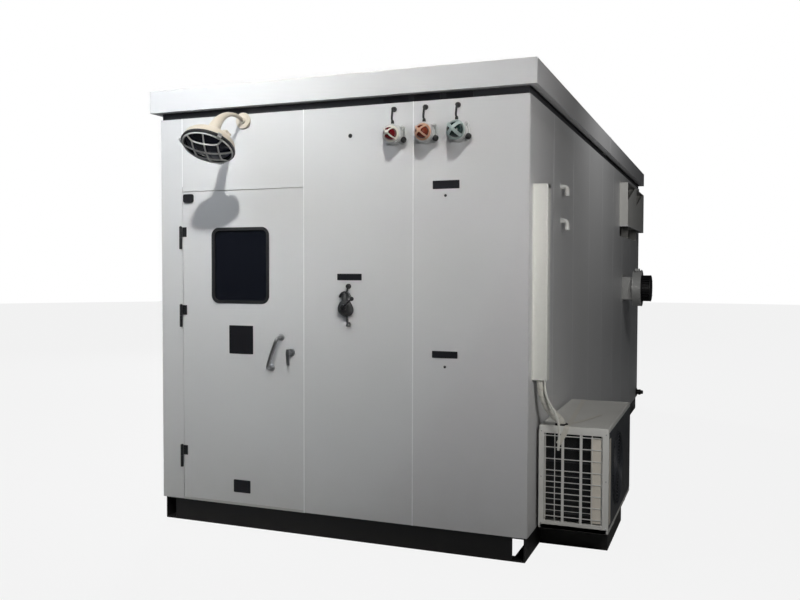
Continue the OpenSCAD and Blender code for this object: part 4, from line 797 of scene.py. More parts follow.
class SHELTER_OT_floodlight(bpy.types.Operator):
    """Makes the floodlight: neck, bell, rim, clamps, glass and guard"""
    bl_idname = "shelter.floodlight"
    bl_label = "Floodlight"

    def execute(self, context):
        wall = front_at(-0.610, 2.632)
        a = np.radians(np.linspace(68.0, 151.0, 44))
        arch = np.stack([np.full(44, -0.610), -3.1061 + 0.275 * np.cos(a), 2.3766 + 0.275 * np.sin(a)], -1)
        u = np.linspace(0.0, 1.0, 44)
        neck = tube(arch, 0.0125 + 0.030 * np.clip((u - 0.35) / 0.65, 0.0, 1.0) ** 1.25, 32, (1, 0, 0))
        plate = lathe([(0.052, 0.0005), (0.052, 0.009), (0.049, 0.012), (0.022, 0.013), (0.0165, 0.020)],
                      wall, 48)
        bolts = [s for k in range(4)
                 for s in bolt(moved(turned(wall, math.radians(45 + 90 * k)), 0.038, 0.0, 0.012), 0.0075,
                               0.006)]
        piece("floodlight_neck", "lamp_enamel", [neck, plate] + bolts, bevel=0.0008,
              stands_for=["lamp_bracket"])
        bell = [(0.042, 0.001), (0.047, 0.005), (0.062, 0.012), (0.085, 0.019), (0.112, 0.029),
                (0.136, 0.042),
                (0.151, 0.058), (0.157, 0.076), (0.159, 0.094), (0.145, 0.094), (0.141, 0.078),
                (0.128, 0.060),
                (0.104, 0.046), (0.052, 0.036)]
        box = prism(round_rect(0.050, 0.046, 0.007), 0.012, 0.050, moved(LAMP_AT, 0.090, 0.0, 0.0))
        lid = prism(round_rect(0.054, 0.050, 0.008), 0.006, 0.012, moved(LAMP_AT, 0.090, 0.0, 0.0))
        gland = lathe([(0.010, 0.0), (0.010, 0.012), (0.007, 0.020)],
                      moved(turned(LAMP_AT, math.pi / 2, 1), -0.026, 0.0, 0.114), 20)
        piece("floodlight_bell", "lamp_enamel", [lathe(bell, LAMP_AT, 96), box, lid, gland], bevel=0.0012,
              stands_for=["lamp_housing"])
        rim = [(0.161, 0.092), (0.163, 0.096), (0.163, 0.106), (0.160, 0.110), (0.143, 0.110),
               (0.140, 0.106),
               (0.140, 0.0945), (0.158, 0.0945)]
        piece("floodlight_rim", "seal_rubber", [lathe(rim, LAMP_AT, 96, loop=True)], look="hinge_black")
        clamps = []
        for angle in (35.0, 150.0, 270.0):
            at = turned(LAMP_AT, math.radians(angle))
            hook = np.array([(0.157, 0, 0.083), (0.166, 0, 0.086), (0.1695, 0, 0.098), (0.168, 0, 0.112),
                             (0.158, 0, 0.1165), (0.147, 0, 0.1155)])
            strip = np.array([(-0.0125, -0.0015), (0.0125, -0.0015), (0.0125, 0.0015), (-0.0125, 0.0015)])
            clamps.append(sweep(placed(smooth(hook, 5), at), strip, at[:3, 1]))
            clamps += bolt(moved(turned(at, math.pi / 2, 1), -0.100, 0.0, 0.1695), 0.0085, 0.010)
        piece("floodlight_clamps", "handle_steel", clamps, bevel=0.0006)
        r = np.linspace(0.1395, 0.0, 13)
        dome = np.column_stack([r[:-1], 0.102 + 0.034 * (1 - (r[:-1] / 0.1395) ** 2)])
        under = np.column_stack([r[:-1], 0.098 + 0.034 * (1 - (r[:-1] / 0.1395) ** 2)])
        piece("floodlight_glass", "lamp_glass", [lathe(np.vstack([under[::-1], dome]), LAMP_AT, 96)],
              stands_for=["lamp_lens"], sharp=60.0)
        inside = [(0.046, 0.0365), (0.046, 0.056), (0.030, 0.058), (0.028, 0.084), (0.022, 0.090)]
        piece("floodlight_module", "lamp_led", [lathe(inside, LAMP_AT, 48)], stands_for=["lamp_module"])
        wire = context.scene.shelter_sizes.guard_wire
        half = wire / 2
        bar = np.array([(-half, -half), (half, -half), (half, half), (-half, half)])
        sag, reach = 0.036, 0.150
        t = around(96)
        hoop = np.stack([reach * np.cos(t), reach * np.sin(t), np.full(96, 0.1145)], -1)
        guard = [sweep(placed(hoop, LAMP_AT), circle(half * 1.15, 10), LAMP_AT[:3, 2], closed=True)]
        pane = 0.078
        for turn, drop in ((-0.35, 0.0), (math.pi / 2 - 0.35, 0.0012)):
            at = turned(LAMP_AT, turn)
            for beside, end in ((-pane, pane + half), (0.0, reach), (pane, pane + half)):
                v = np.linspace(-end, end, 41)
                line = np.stack([v, np.full(41, beside),
                                 0.1145 - drop + sag * (1 - (v ** 2 + beside ** 2) / reach ** 2)],
                                -1)
                guard.append(sweep(placed(line, at), bar, at[:3, 1]))
            for corner in (1, 5):
                leg = turned(at, corner * math.pi / 4)
                v = np.linspace(1.40 * pane, reach, 9)
                line = np.stack([v, 0 * v, 0.1139 + sag * (1 - v ** 2 / reach ** 2)], -1)
                guard.append(sweep(placed(line, leg), bar, leg[:3, 1]))
        piece("floodlight_guard", "guard_wire", guard, bevel=0.0012, stands_for=["lamp_guard"])
        return {"FINISHED"}


# ---------- Beacons ----------

BEACONS = ((0.438, "red", "strap_cream", 0.0075, 0.82), (0.637, "amber", "strap_peach", 0.0095, 0.84),
           (0.836, "green", "strap_sage", 0.0180, 0.98))


class SHELTER_OT_beacons(bpy.types.Operator):
    """Makes the three beacons: cast body, lens, crossed straps, cable and plugged entry"""
    bl_idname = "shelter.beacons"
    bl_label = "Beacons"

    def execute(self, context):
        for x, name, strap, width, size in BEACONS:
            at = front_at(x, 2.480)
            body = [lathe([(0.062, 0.0005), (0.062, 0.009), (0.059, 0.012), (0.053, 0.012), (0.051, 0.020),
                           (0.051, 0.046), (0.056, 0.050), (0.060, 0.051), (0.060, 0.058), (0.054, 0.0595),
                           (0.054, 0.065), (0.058, 0.066), (0.058, 0.074), (0.050, 0.0745)], at, 64)]
            for turn in (45, 135, 225, 315):
                lug = turned(at, math.radians(turn))
                body.append(lathe([(0.013, 0.0005), (0.013, 0.010), (0.011, 0.0115)], moved(lug, 0.064), 24))
                body += bolt(moved(lug, 0.066, 0.0, 0.0115), 0.0065, 0.0055)
                body.append(prism(round_rect(0.016, 0.006, 0.0025, 3), 0.012, 0.050, moved(lug, 0.053)))
            up = turned(moved(at, -0.008, 0.046, 0.030), -math.pi / 2, 0)
            body.append(lathe([(0.013, 0.0), (0.013, 0.010), (0.0105, 0.012), (0.0105, 0.019)], up, 24))
            spare = moved(turned(at, math.radians(-28.0)), 0.046, 0.0, 0.030)
            out = turned(spare, math.pi / 2, 1)
            body.append(lathe([(0.0145, 0.0), (0.0145, 0.012), (0.012, 0.014)], out, 24))
            piece(f"beacon_{name}_body", "cast_alloy", body, bevel=0.0007, stands_for=["beacon_bodies"])
            r = np.linspace(0.0435, 0.0, 12)[:-1]
            ribs = np.column_stack([r * size, 0.104 + 0.033 * (1 - (r / 0.0435) ** 2) ** 0.62])
            low = [(0.0435 * size, 0.0745), (0.0442 * size, 0.080), (0.0430 * size, 0.086),
                   (0.0442 * size, 0.092),
                   (0.0430 * size, 0.098)]
            piece(f"beacon_{name}_lens", f"lens_{name}", [lathe(np.vstack([low, ribs]), at, 64)],
                  stands_for=[f"beacon_lens_{name}"], sharp=30.0)
            rim = 0.0475 * size
            base = lathe([(rim, 0.0742), (rim + 0.010, 0.0742), (rim + 0.010, 0.0795), (rim + 0.008, 0.081),
                          (rim, 0.081)],
                         at, 64, loop=True)
            straps = [base]
            a = np.linspace(-0.1, np.pi + 0.1, 33)
            bow = np.stack([0.0505 * size * np.cos(a), 0 * a, 0.0950 + 0.0520 * np.maximum(np.sin(a), -0.4)],
                           -1)
            half = width / 2
            flat = np.array([(-half, -0.0028), (half, -0.0028), (half, 0.0016), (half * 0.8, 0.0028),
                             (-half * 0.8, 0.0028), (-half, 0.0016)])
            for turn in (45.0, 135.0):
                one = turned(at, math.radians(turn))
                straps.append(sweep(placed(bow, one), flat, one[:3, 1]))
            straps.append(lathe([(0.012, 0.1435), (0.012, 0.1505), (0.008, 0.1525)], at, 32))
            piece(f"beacon_{name}_guard", "cast_alloy", straps, look=strap, bevel=0.0006,
                  stands_for=["beacon_guards"])
            entry = front_at(x - 0.008, 2.635)
            gland = lathe([(0.016, 0.0005), (0.016, 0.006), (0.0135, 0.008), (0.0135, 0.018),
                           (0.0095, 0.026),
                           (0.0065, 0.028)], entry, 24)
            drop = np.array([(x - 0.008, FRONT - 0.024, 2.640), (x - 0.008, FRONT - 0.031, 2.625),
                             (x - 0.011, FRONT - 0.030, 2.600), (x - 0.013, FRONT - 0.028, 2.575),
                             (x - 0.008, FRONT - 0.029, 2.553), (x - 0.008, FRONT - 0.030, 2.540)])
            cable = tube(smooth(drop, 6), 0.0062, 16, (1, 0, 0))
            collar = lathe([(0.0098, 0.017), (0.0098, 0.030), (0.0070, 0.040)], up, 20)
            plug = lathe([(0.0150, 0.013), (0.0185, 0.018), (0.0195, 0.025), (0.0180, 0.032),
                          (0.0140, 0.038),
                          (0.0080, 0.041)], out, 28)
            piece(f"beacon_{name}_cable", "cable_black", [gland, cable, collar, plug], bevel=0.0006,
                  stands_for=["beacon_cables"])
        return {"FINISHED"}


# ---------- Hand switch ----------

class SHELTER_OT_hand_switch(bpy.types.Operator):
    """Makes the hand switch: pear-shaped body, arched hood, ball lever and the stem to its foot"""
    bl_idname = "shelter.hand_switch"
    bl_label = "Hand switch"

    def execute(self, context):
        at = front_at(0.116, 1.452)
        t = around(40)
        pear = np.stack([0.046 * np.cos(t) * (1 - 0.22 * np.sin(t)) - 0.006 * (1 + np.sin(t)) / 2,
                         0.052 * np.sin(t) - 0.004], -1)
        dome = ((1.06, 0.0005), (1.06, 0.007), (1.0, 0.010), (0.96, 0.026), (0.86, 0.036), (0.62, 0.041),
                (0.30, 0.043))
        shell = capped(placed(levels([(pear * size, height) for size, height in dome]), at))
        boss = lathe([(0.019, 0.040), (0.019, 0.048), (0.0165, 0.051)], at, 32)
        column = np.array([(0.110, FRONT - 0.020, 1.488), (0.110, FRONT - 0.020, 1.515),
                           (0.112, FRONT - 0.019, 1.533)])
        neck = tube(smooth(column, 5), np.linspace(0.019, 0.013, 11), 24, (1, 0, 0))
        a = np.radians(np.linspace(8.0, 172.0, 25))
        arch = np.stack([0.112 + 0.034 * np.cos(a), np.full(25, FRONT - 0.014), 1.505 + 0.040 * np.sin(a)],
                        -1)
        hood = sweep(arch, round_rect(0.026, 0.008, 0.0035, 4), (0, 1, 0))
        foot = np.array([(0.128, FRONT - 0.017, 1.408), (0.129, FRONT - 0.017, 1.385),
                         (0.131, FRONT - 0.017, 1.362),
                         (0.137, FRONT - 0.017, 1.348)])
        stem = tube(smooth(foot, 6), 0.0072, 16, (1, 0, 0))
        shoe = lathe([(0.0085, -0.010), (0.016, 0.008), (0.017, 0.014), (0.013, 0.017)],
                     turned(front_at(0.138, 1.350, 0.017), math.pi / 2, 0),
                     24)
        piece("hand_switch_body", "cast_alloy", [shell, boss, neck, hood, stem, shoe], look="switch_iron",
              bevel=0.0008, stands_for=["switch_body"])
        arm_at = turned(moved(at, 0.0, 0.0, 0.057), math.radians(40.0))
        arm_path = placed(np.array([(0.0, 0, 0.0), (0.02, 0, 0.001), (0.05, 0, 0.004), (0.076, 0, 0.006)]),
                          arm_at)
        arm = tube(smooth(arm_path, 4), np.linspace(0.0085, 0.0050, 13), 16, at[:3, 2])
        hub = lathe([(0.008, 0.023), (0.008, 0.050), (0.0165, 0.0515), (0.0165, 0.060), (0.013, 0.0635)], at,
                    32)
        lat = np.linspace(-np.pi / 2, np.pi / 2, 15)[1:-1]
        ball = lathe(np.column_stack([0.0135 * np.cos(lat), 0.0135 * np.sin(lat)]),
                     moved(arm_at, 0.082, 0.0, 0.0065), 28)
        piece("hand_switch_lever", "lever_zinc", [arm, hub, ball], look="switch_arm", body="switch_arm",
              stands_for=["switch_lever"])
        return {"FINISHED"}


# ---------- Door ----------

class SHELTER_OT_door_hardware(bpy.types.Operator):
    """Makes the pull handle, the lever and its rose, and the hinges"""
    bl_idname = "shelter.door_hardware"
    bl_label = "Door hardware"

    def execute(self, context):
        low, high = np.array([-0.408, 1.056]), np.array([-0.338, 1.252])
        along = (high - low) / np.linalg.norm(high - low)
        corner = 0.024
        out = FRONT - 0.062

        def spot(point, y):
            return (point[0], y, point[1])

        bend = np.radians(np.linspace(0.0, 90.0, 9))
        start = [spot(low, FRONT - 0.004), spot(low, FRONT - 0.02)]
        first = [spot(low + along * corner * (1 - math.cos(b)), out + corner * (1 - math.sin(b)))
                 for b in bend]
        last = [spot(high - along * corner * (1 - math.sin(b)), out + corner * (1 - math.cos(b)))
                for b in bend]
        end = [spot(high, FRONT - 0.02), spot(high, FRONT - 0.004)]
        path, run = evenly(np.array(start + first + last + end), 0.004)
        share = run / run[-1]
        grip = tube(path, 0.0105 + 0.0015 * np.sin(np.pi * share), 28, (along[1], 0.001, -along[0]))
        shapes = [grip]
        for point in (low, high):
            rose = front_at(point[0], point[1])
            shapes.append(lathe([(0.023, 0.0004), (0.023, 0.004), (0.020, 0.0065), (0.0145, 0.008),
                                 (0.0135, 0.016)],
                                rose, 40))
        piece("door_pull_handle", "handle_steel", shapes, body="door", stands_for=["pull_handle"])
        at = front_at(-0.266, 1.157)
        blade = smooth([(0.0, 0.024, 0.049), (0.0, 0.004, 0.0505), (0.0, -0.030, 0.050),
                        (0.0, -0.060, 0.048),
                        (0.0, -0.076, 0.046)], 5)
        wide = 0.0095 + 0.004 * np.exp(-((blade[:, 1] / 0.022) ** 2))
        lever = sweep(placed(blade, at), round_rect(2.0, 0.9, 0.4, 4), (1, 0, 0), scale=wide)
        piece("door_lever", "lever_zinc",
              [lever, lathe([(0.007, -0.03), (0.007, 0.010), (0.014, 0.0105), (0.014, 0.046)], at, 28)] +
              screw(moved(at, 0, 0.0, 0.0548), 0.004), body="lever", stands_for=["lever_handle"])
        spindle = lathe([(0.0069, -0.086), (0.0069, -0.028)], at, 24)
        piece("door_lever_spindle", "lever_zinc", [spindle], body="lever")
        for node, body, slot in (("hinge_frame_leaves", "shelter", "hinge_black"),
                                 ("hinge_door_leaves", "door", "hinge_black")):
            upper = node == "hinge_door_leaves"
            shapes = []
            for z in (0.438, 1.374, 1.890):
                h0, h1 = (z + 0.0005, z + 0.075) if upper else (z - 0.075, z - 0.0005)
                rod = upright(-1.090, FRONT - 0.0105, h0)
                tall = h1 - h0
                if upper:
                    shapes.append(lathe([(0.0052, 0.0), (0.010, 0.0), (0.010, tall - 0.003), (0.0085, tall),
                                         (0.0052, tall)], rod, 24, loop=True))
                    shapes.append(lathe([(0.0050, tall - 0.006), (0.0050, tall + 0.0005),
                                         (0.0036, tall + 0.003)],
                                        rod, 16))
                    leaf = ((-1.082, FRONT - 0.0035, z + 0.006), (-1.050, FRONT - 0.0002, z + 0.070))
                    screws = [(-1.064, z + 0.022), (-1.064, z + 0.054)]
                else:
                    shapes.append(lathe([(0.0085, 0.0), (0.010, 0.003), (0.010, tall)], rod, 24))
                    shapes.append(lathe([(0.0050, tall), (0.0050, tall + 0.060)], rod, 16))
                    leaf = ((-1.106, FRONT - 0.0035, z - 0.070), (-1.098, FRONT - 0.0002, z - 0.006))
                    screws = []
                shapes.append(plates([leaf]))
                shapes += [s for x, h in screws for s in screw(front_at(x, h, 0.0034), 0.0045)]
            piece(node.replace("leaves", "barrels"), slot, shapes, look="hinge_black", body=body,
                  bevel=0.0005, stands_for=[node])
        return {"FINISHED"}


# ---------- Right side ----------

class SHELTER_OT_raceway(bpy.types.Operator):
    """Makes the pipe raceway: a folded cover, its end cap, fixing flange and screws"""
    bl_idname = "shelter.raceway"
    bl_label = "Raceway"

    def execute(self, context):
        x0, x1, y0, y1, z0, z1 = SIDE + 0.0005, 1.335, -2.900, -2.824, 1.045, 2.175
        sheet = 0.002
        section = np.array([(x0, y0 - 0.018), (x0 + sheet, y0 - 0.018), (x0 + sheet, y0), (x1 - 0.004, y0),
                            (x1, y0 + 0.004),
                            (x1, y1 - 0.004), (x1 - 0.004, y1), (x0, y1), (x0, y1 - sheet),
                            (x1 - 0.0045, y1 - sheet),
                            (x1 - sheet, y1 - 0.0045), (x1 - sheet, y0 + 0.0045), (x1 - 0.0045, y0 + sheet),
                            (x0, y0 + sheet)])
        up = upright(0, 0, 0)
        cover = prism(section, z0, z1 - sheet, up)
        cap_line = np.array([(x0, y0 - 0.018), (x1 - 0.004, y0 - 0.003), (x1, y0 + 0.003),
                             (x1, y1), (x0, y1)])
        cap = prism(cap_line, z1 - sheet, z1, up)
        lip = plates([((x1 - 0.0012, y0 + 0.002, z1 - 0.026), (x1, y1 - 0.002, z1 - sheet))])
        shapes = [cover, cap, lip]
        for z in np.arange(z0 + 0.05, z1, 0.2625):
            shapes += screw(side_at(y0 - 0.009, z, 0.0025), 0.0048)
        piece("pipe_raceway", "raceway_white", shapes, bevel=0.0006, stands_for=["raceway"])
        screws = [s for z in np.arange(z0 + 0.12, z1 - 0.05, 0.31)
                  for s in screw(side_at(-2.862, z, 0.0852), 0.0035)]
        piece("raceway_cover_screws", "handle_steel", screws)
        return {"FINISHED"}


class SHELTER_OT_vent_elbows(bpy.types.Operator):
    """Makes the two vent elbows: a rose, a bent pipe with a socket at each end, open at the bottom"""
    bl_idname = "shelter.vent_elbows"
    bl_label = "Vent elbows"

    def execute(self, context):
        shapes = []
        for y, z in ((-2.065, 2.235), (-2.060, 2.010)):
            at = side_at(y, z)
            shapes.append(lathe([(0.024, 0.0005), (0.024, 0.003), (0.021, 0.0045), (0.016, 0.005)], at, 40))
            b = np.radians(np.linspace(0.0, 90.0, 13))
            bend = [(SIDE + 0.022 + 0.022 * math.sin(q), y, z - 0.022 * (1 - math.cos(q))) for q in b]
            path = np.array([(SIDE + 0.001, y, z)] + bend
                            + [(SIDE + 0.044, y, z - 0.045), (SIDE + 0.044, y, z - 0.060)])
            path, run = evenly(path, 0.002)
            share = run / run[-1]
            swell = 0.0012 * ((share < 0.20) | (share > 0.62)).astype(float)
            shapes.append(tube(path, 0.0133 + swell, 28, (0, 1, 0), bore=0.0105))
        piece("vent_elbow_pipes", "vent_white", shapes, stands_for=["vent_elbows"], sharp=30.0)
        return {"FINISHED"}


class SHELTER_OT_vent_hood(bpy.types.Operator):
    """Makes the rain hood: cheeks, rib, two slant-cut front plates with folded edges, top and drip lip"""
    bl_idname = "shelter.vent_hood"
    bl_label = "Vent hood"

    def execute(self, context):
        y0, y1, z0, z1, x1 = 1.085, 2.695, 2.131, 2.571, 1.333
        mid, sheet = (y0 + y1) / 2, 0.0022
        half = (y1 - y0) / 2
        shapes = [plates([((SIDE + 0.0005, y, z0), (x1 - sheet, y + sheet, z1 - sheet))
                          for y in (y0, mid - sheet / 2, y1 - sheet)]),
                  plates([((SIDE + 0.0005, y0, z1 - sheet), (x1, y1, z1)),
                          ((SIDE + 0.0005, y0 - 0.020, z1 + 0.0002),
                           (SIDE + 0.0025, y1 + 0.020, z1 + 0.018))])]
        face = place_at((x1 - sheet, 0, 0), (0, 1, 0), (0, 0, 1), (1, 0, 0))
        lips = []
        for y in (y0, mid + 0.0002):
            cut = np.array([(y, z1 - 0.185), (y + 0.86 * half, z1 - sheet - 0.0002)])
            outline = np.array([(y, z0), (y + half - 0.0002, z0), (y + half - 0.0002, z1 - sheet - 0.0002),
                                cut[1], cut[0]])
            shapes.append(prism(outline, 0.0, sheet, face))
            fold = np.array([(x1 - 0.0012, cut[0, 0] + 0.002, cut[0, 1] + 0.001),
                             (x1 - 0.0012, cut[1, 0] - 0.002, cut[1, 1] - 0.001)])
            shapes.append(sweep(fold,
                                np.array([(-0.0012, -0.006), (0.0012, -0.006), (0.0012, 0.001),
                                          (-0.0012, 0.001)]),
                                (1, 0, 0)))
        path = np.array([(SIDE + 0.001, y0 + 0.001, z0 + 0.004), (x1 - 0.002, y0 + 0.001, z0 + 0.004),
                         (x1 - 0.002, y1 - 0.001, z0 + 0.004), (SIDE + 0.001, y1 - 0.001, z0 + 0.004)])
        for a, b in zip(path[:-1], path[1:]):
            lips.append(sweep([a, b], round_rect(0.005, 0.012, 0.002, 4), np.cross(b - a, (0, 0, 1))))
        piece("rain_hood", "hood_paint", shapes, bevel=0.0006, stands_for=["vent_hood"])
        piece("rain_hood_drip_lip", "hood_paint", lips, look="sealant")
        screws = [s for y in np.linspace(y0 + 0.05, y1 - 0.05, 8)
                  for s in screw(side_at(y, z1 + 0.010, 0.0024), 0.0045)]
        piece("rain_hood_screws", "handle_steel", screws)
        return {"FINISHED"}


class SHELTER_OT_exhaust_fan(bpy.types.Operator):
    """Makes the exhaust fan: square duct with a flange, round drum, arms and finned motor"""
    bl_idname = "shelter.exhaust_fan"
    bl_label = "Exhaust fan"

    def execute(self, context):
        at = side_at(1.5, 1.498)
        wide = 0.240
        duct = [ring_plate(round_rect(wide, wide, 0.010), round_rect(wide - 0.006, wide - 0.006, 0.008),
                           0.0005,
                           0.0985, at),
                ring_plate(round_rect(wide + 0.044, wide + 0.044, 0.012), round_rect(wide, wide, 0.010),
                           0.0005,
                           0.0035, at),
                ring_plate(round_rect(wide + 0.020, wide + 0.020, 0.012), round_rect(wide, wide, 0.010),
                           0.086,
                           0.0885, at)]
        for sx in (-1, 1):
            for sy in (-1, 1):
                duct += bolt(moved(at, sx * (wide / 2 + 0.011), sy * (wide / 2 + 0.011), 0.0035), 0.007,
                             0.006)
        drum = lathe([(0.112, 0.1002), (0.1875, 0.1002), (0.190, 0.1028), (0.1895, 0.108), (0.1875, 0.111),
                      (0.1875, 0.179), (0.1895, 0.182), (0.190, 0.1872), (0.1875, 0.190), (0.1845, 0.190),
                      (0.1845, 0.1034), (0.112, 0.1034)], at, 96, loop=True)
        arms = []
        for turn in (90.0, 210.0, 330.0):
            one = turned(at, math.radians(turn))
            arms.append(sweep(placed(np.array([(0.136, 0, 0.1835), (0.160, 0, 0.1835), (0.1865, 0, 0.1835)]),
                                     one),
                              round_rect(0.018, 0.006, 0.002, 3), one[:3, 1]))
            arms += bolt(turned(moved(one, 0.190, 0.0, 0.1835), math.pi / 2, 1), 0.006, 0.0045)
        terminal = prism(round_rect(0.060, 0.050, 0.006), 0.0, 0.030,
                         turned(moved(at, -0.060, 0.176, 0.145), -math.pi / 2, 0))
        piece("exhaust_fan_casing", "fan_paint", duct + [drum] + arms + [terminal], bevel=0.0008,
              stands_for=["fan_casing"])
        motor = [lathe([(0.118, 0.184), (0.137, 0.184), (0.137, 0.193), (0.117, 0.195), (0.117, 0.268),
                        (0.1365, 0.270),
                        (0.138, 0.273), (0.137, 0.280), (0.122, 0.2845), (0.040, 0.285), (0.030, 0.284)], at,
                       96)]
        count = context.scene.shelter_sizes.motor_fins
        fin = np.array([(0.114, 0.196), (0.1355, 0.196), (0.1365, 0.199), (0.1365, 0.267), (0.1355, 0.270),
                        (0.114, 0.270)])
        for k in range(count):
            one = turned(at, 2 * math.pi * k / count)
            flat = place_at(one[:3, 3], one[:3, 0], one[:3, 2], -one[:3, 1])
            motor.append(prism(fin, -0.0017, 0.0017, flat))
        for turn in (45, 135, 225, 315):
            motor += bolt(moved(turned(at, math.radians(turn)), 0.104, 0.0, 0.2845), 0.006, 0.0035)
        piece("exhaust_fan_motor", "motor_iron", motor, bevel=0.0005, stands_for=["fan_motor"])
        hub = [lathe([(0.012, 0.120), (0.030, 0.121), (0.046, 0.126), (0.048, 0.134), (0.048, 0.165),
                      (0.012, 0.166)],
                     at, 48)]
        r = np.linspace(0.044, 0.170, 12)
        c = np.linspace(-1.0, 1.0, 9)
        chord = 0.030 + 0.018 * np.sin((r - 0.044) / 0.126 * np.pi * 0.75)
        pitch = np.radians(50.0 - 24.0 * (r - 0.044) / 0.126)
        for k in range(6):
            one = turned(at, math.radians(60.0 * k))
            sheets = []
            for face_of in (1.0, -1.0):
                bulge = 0.005 * (1 - c ** 2) + face_of * 0.0015 * (1 - c ** 4)
                w = chord[:, None] * c * np.cos(pitch[:, None]) + bulge * np.sin(pitch[:, None])
                h = 0.144 + chord[:,
                                  None] * c * np.sin(pitch[:, None]) * 0.55 - bulge * np.cos(pitch[:, None])
                sheets.append(np.stack([np.broadcast_to(r[:, None], w.shape), w, h], -1))
            blade = np.concatenate([sheets[0], sheets[1][:, ::-1]], axis=1)
            hub.append(capped(placed(blade, one)))
        piece("exhaust_fan_impeller", "fan_paint", hub, body="exhaust_rotor", stands_for=["fan_impeller"])
        return {"FINISHED"}


class SHELTER_OT_supply_gland(bpy.types.Operator):
    """Makes the supply gland low on the right side: plate, body, six-sided nut and tapered sleeve"""
    bl_idname = "shelter.supply_gland"
    bl_label = "Supply gland"

    def execute(self, context):
        at = side_at(2.880, 0.211)
        shapes = [lathe([(0.048, 0.0005), (0.048, 0.009), (0.045, 0.012), (0.030, 0.0125), (0.030, 0.032)],
                        at, 48),
                  prism(circle(0.036, 6), 0.032, 0.054, at),
                  lathe([(0.026, 0.054), (0.024, 0.058), (0.0225, 0.070), (0.021, 0.082), (0.012, 0.084)],
                        at, 40)]
        for k in range(4):
            shapes += bolt(moved(turned(at, math.radians(45 + 90 * k)), 0.039, 0.0, 0.012), 0.0055, 0.005)
        piece("supply_gland_body", "cable_black", shapes, bevel=0.0006, stands_for=["supply_gland"])
        return {"FINISHED"}


# ---------- Outdoor unit ----------

UX0, UX1, UY0, UY1, UZ0, UZ1 = 1.270, 1.675, -2.795, -1.710, 0.160, 0.770


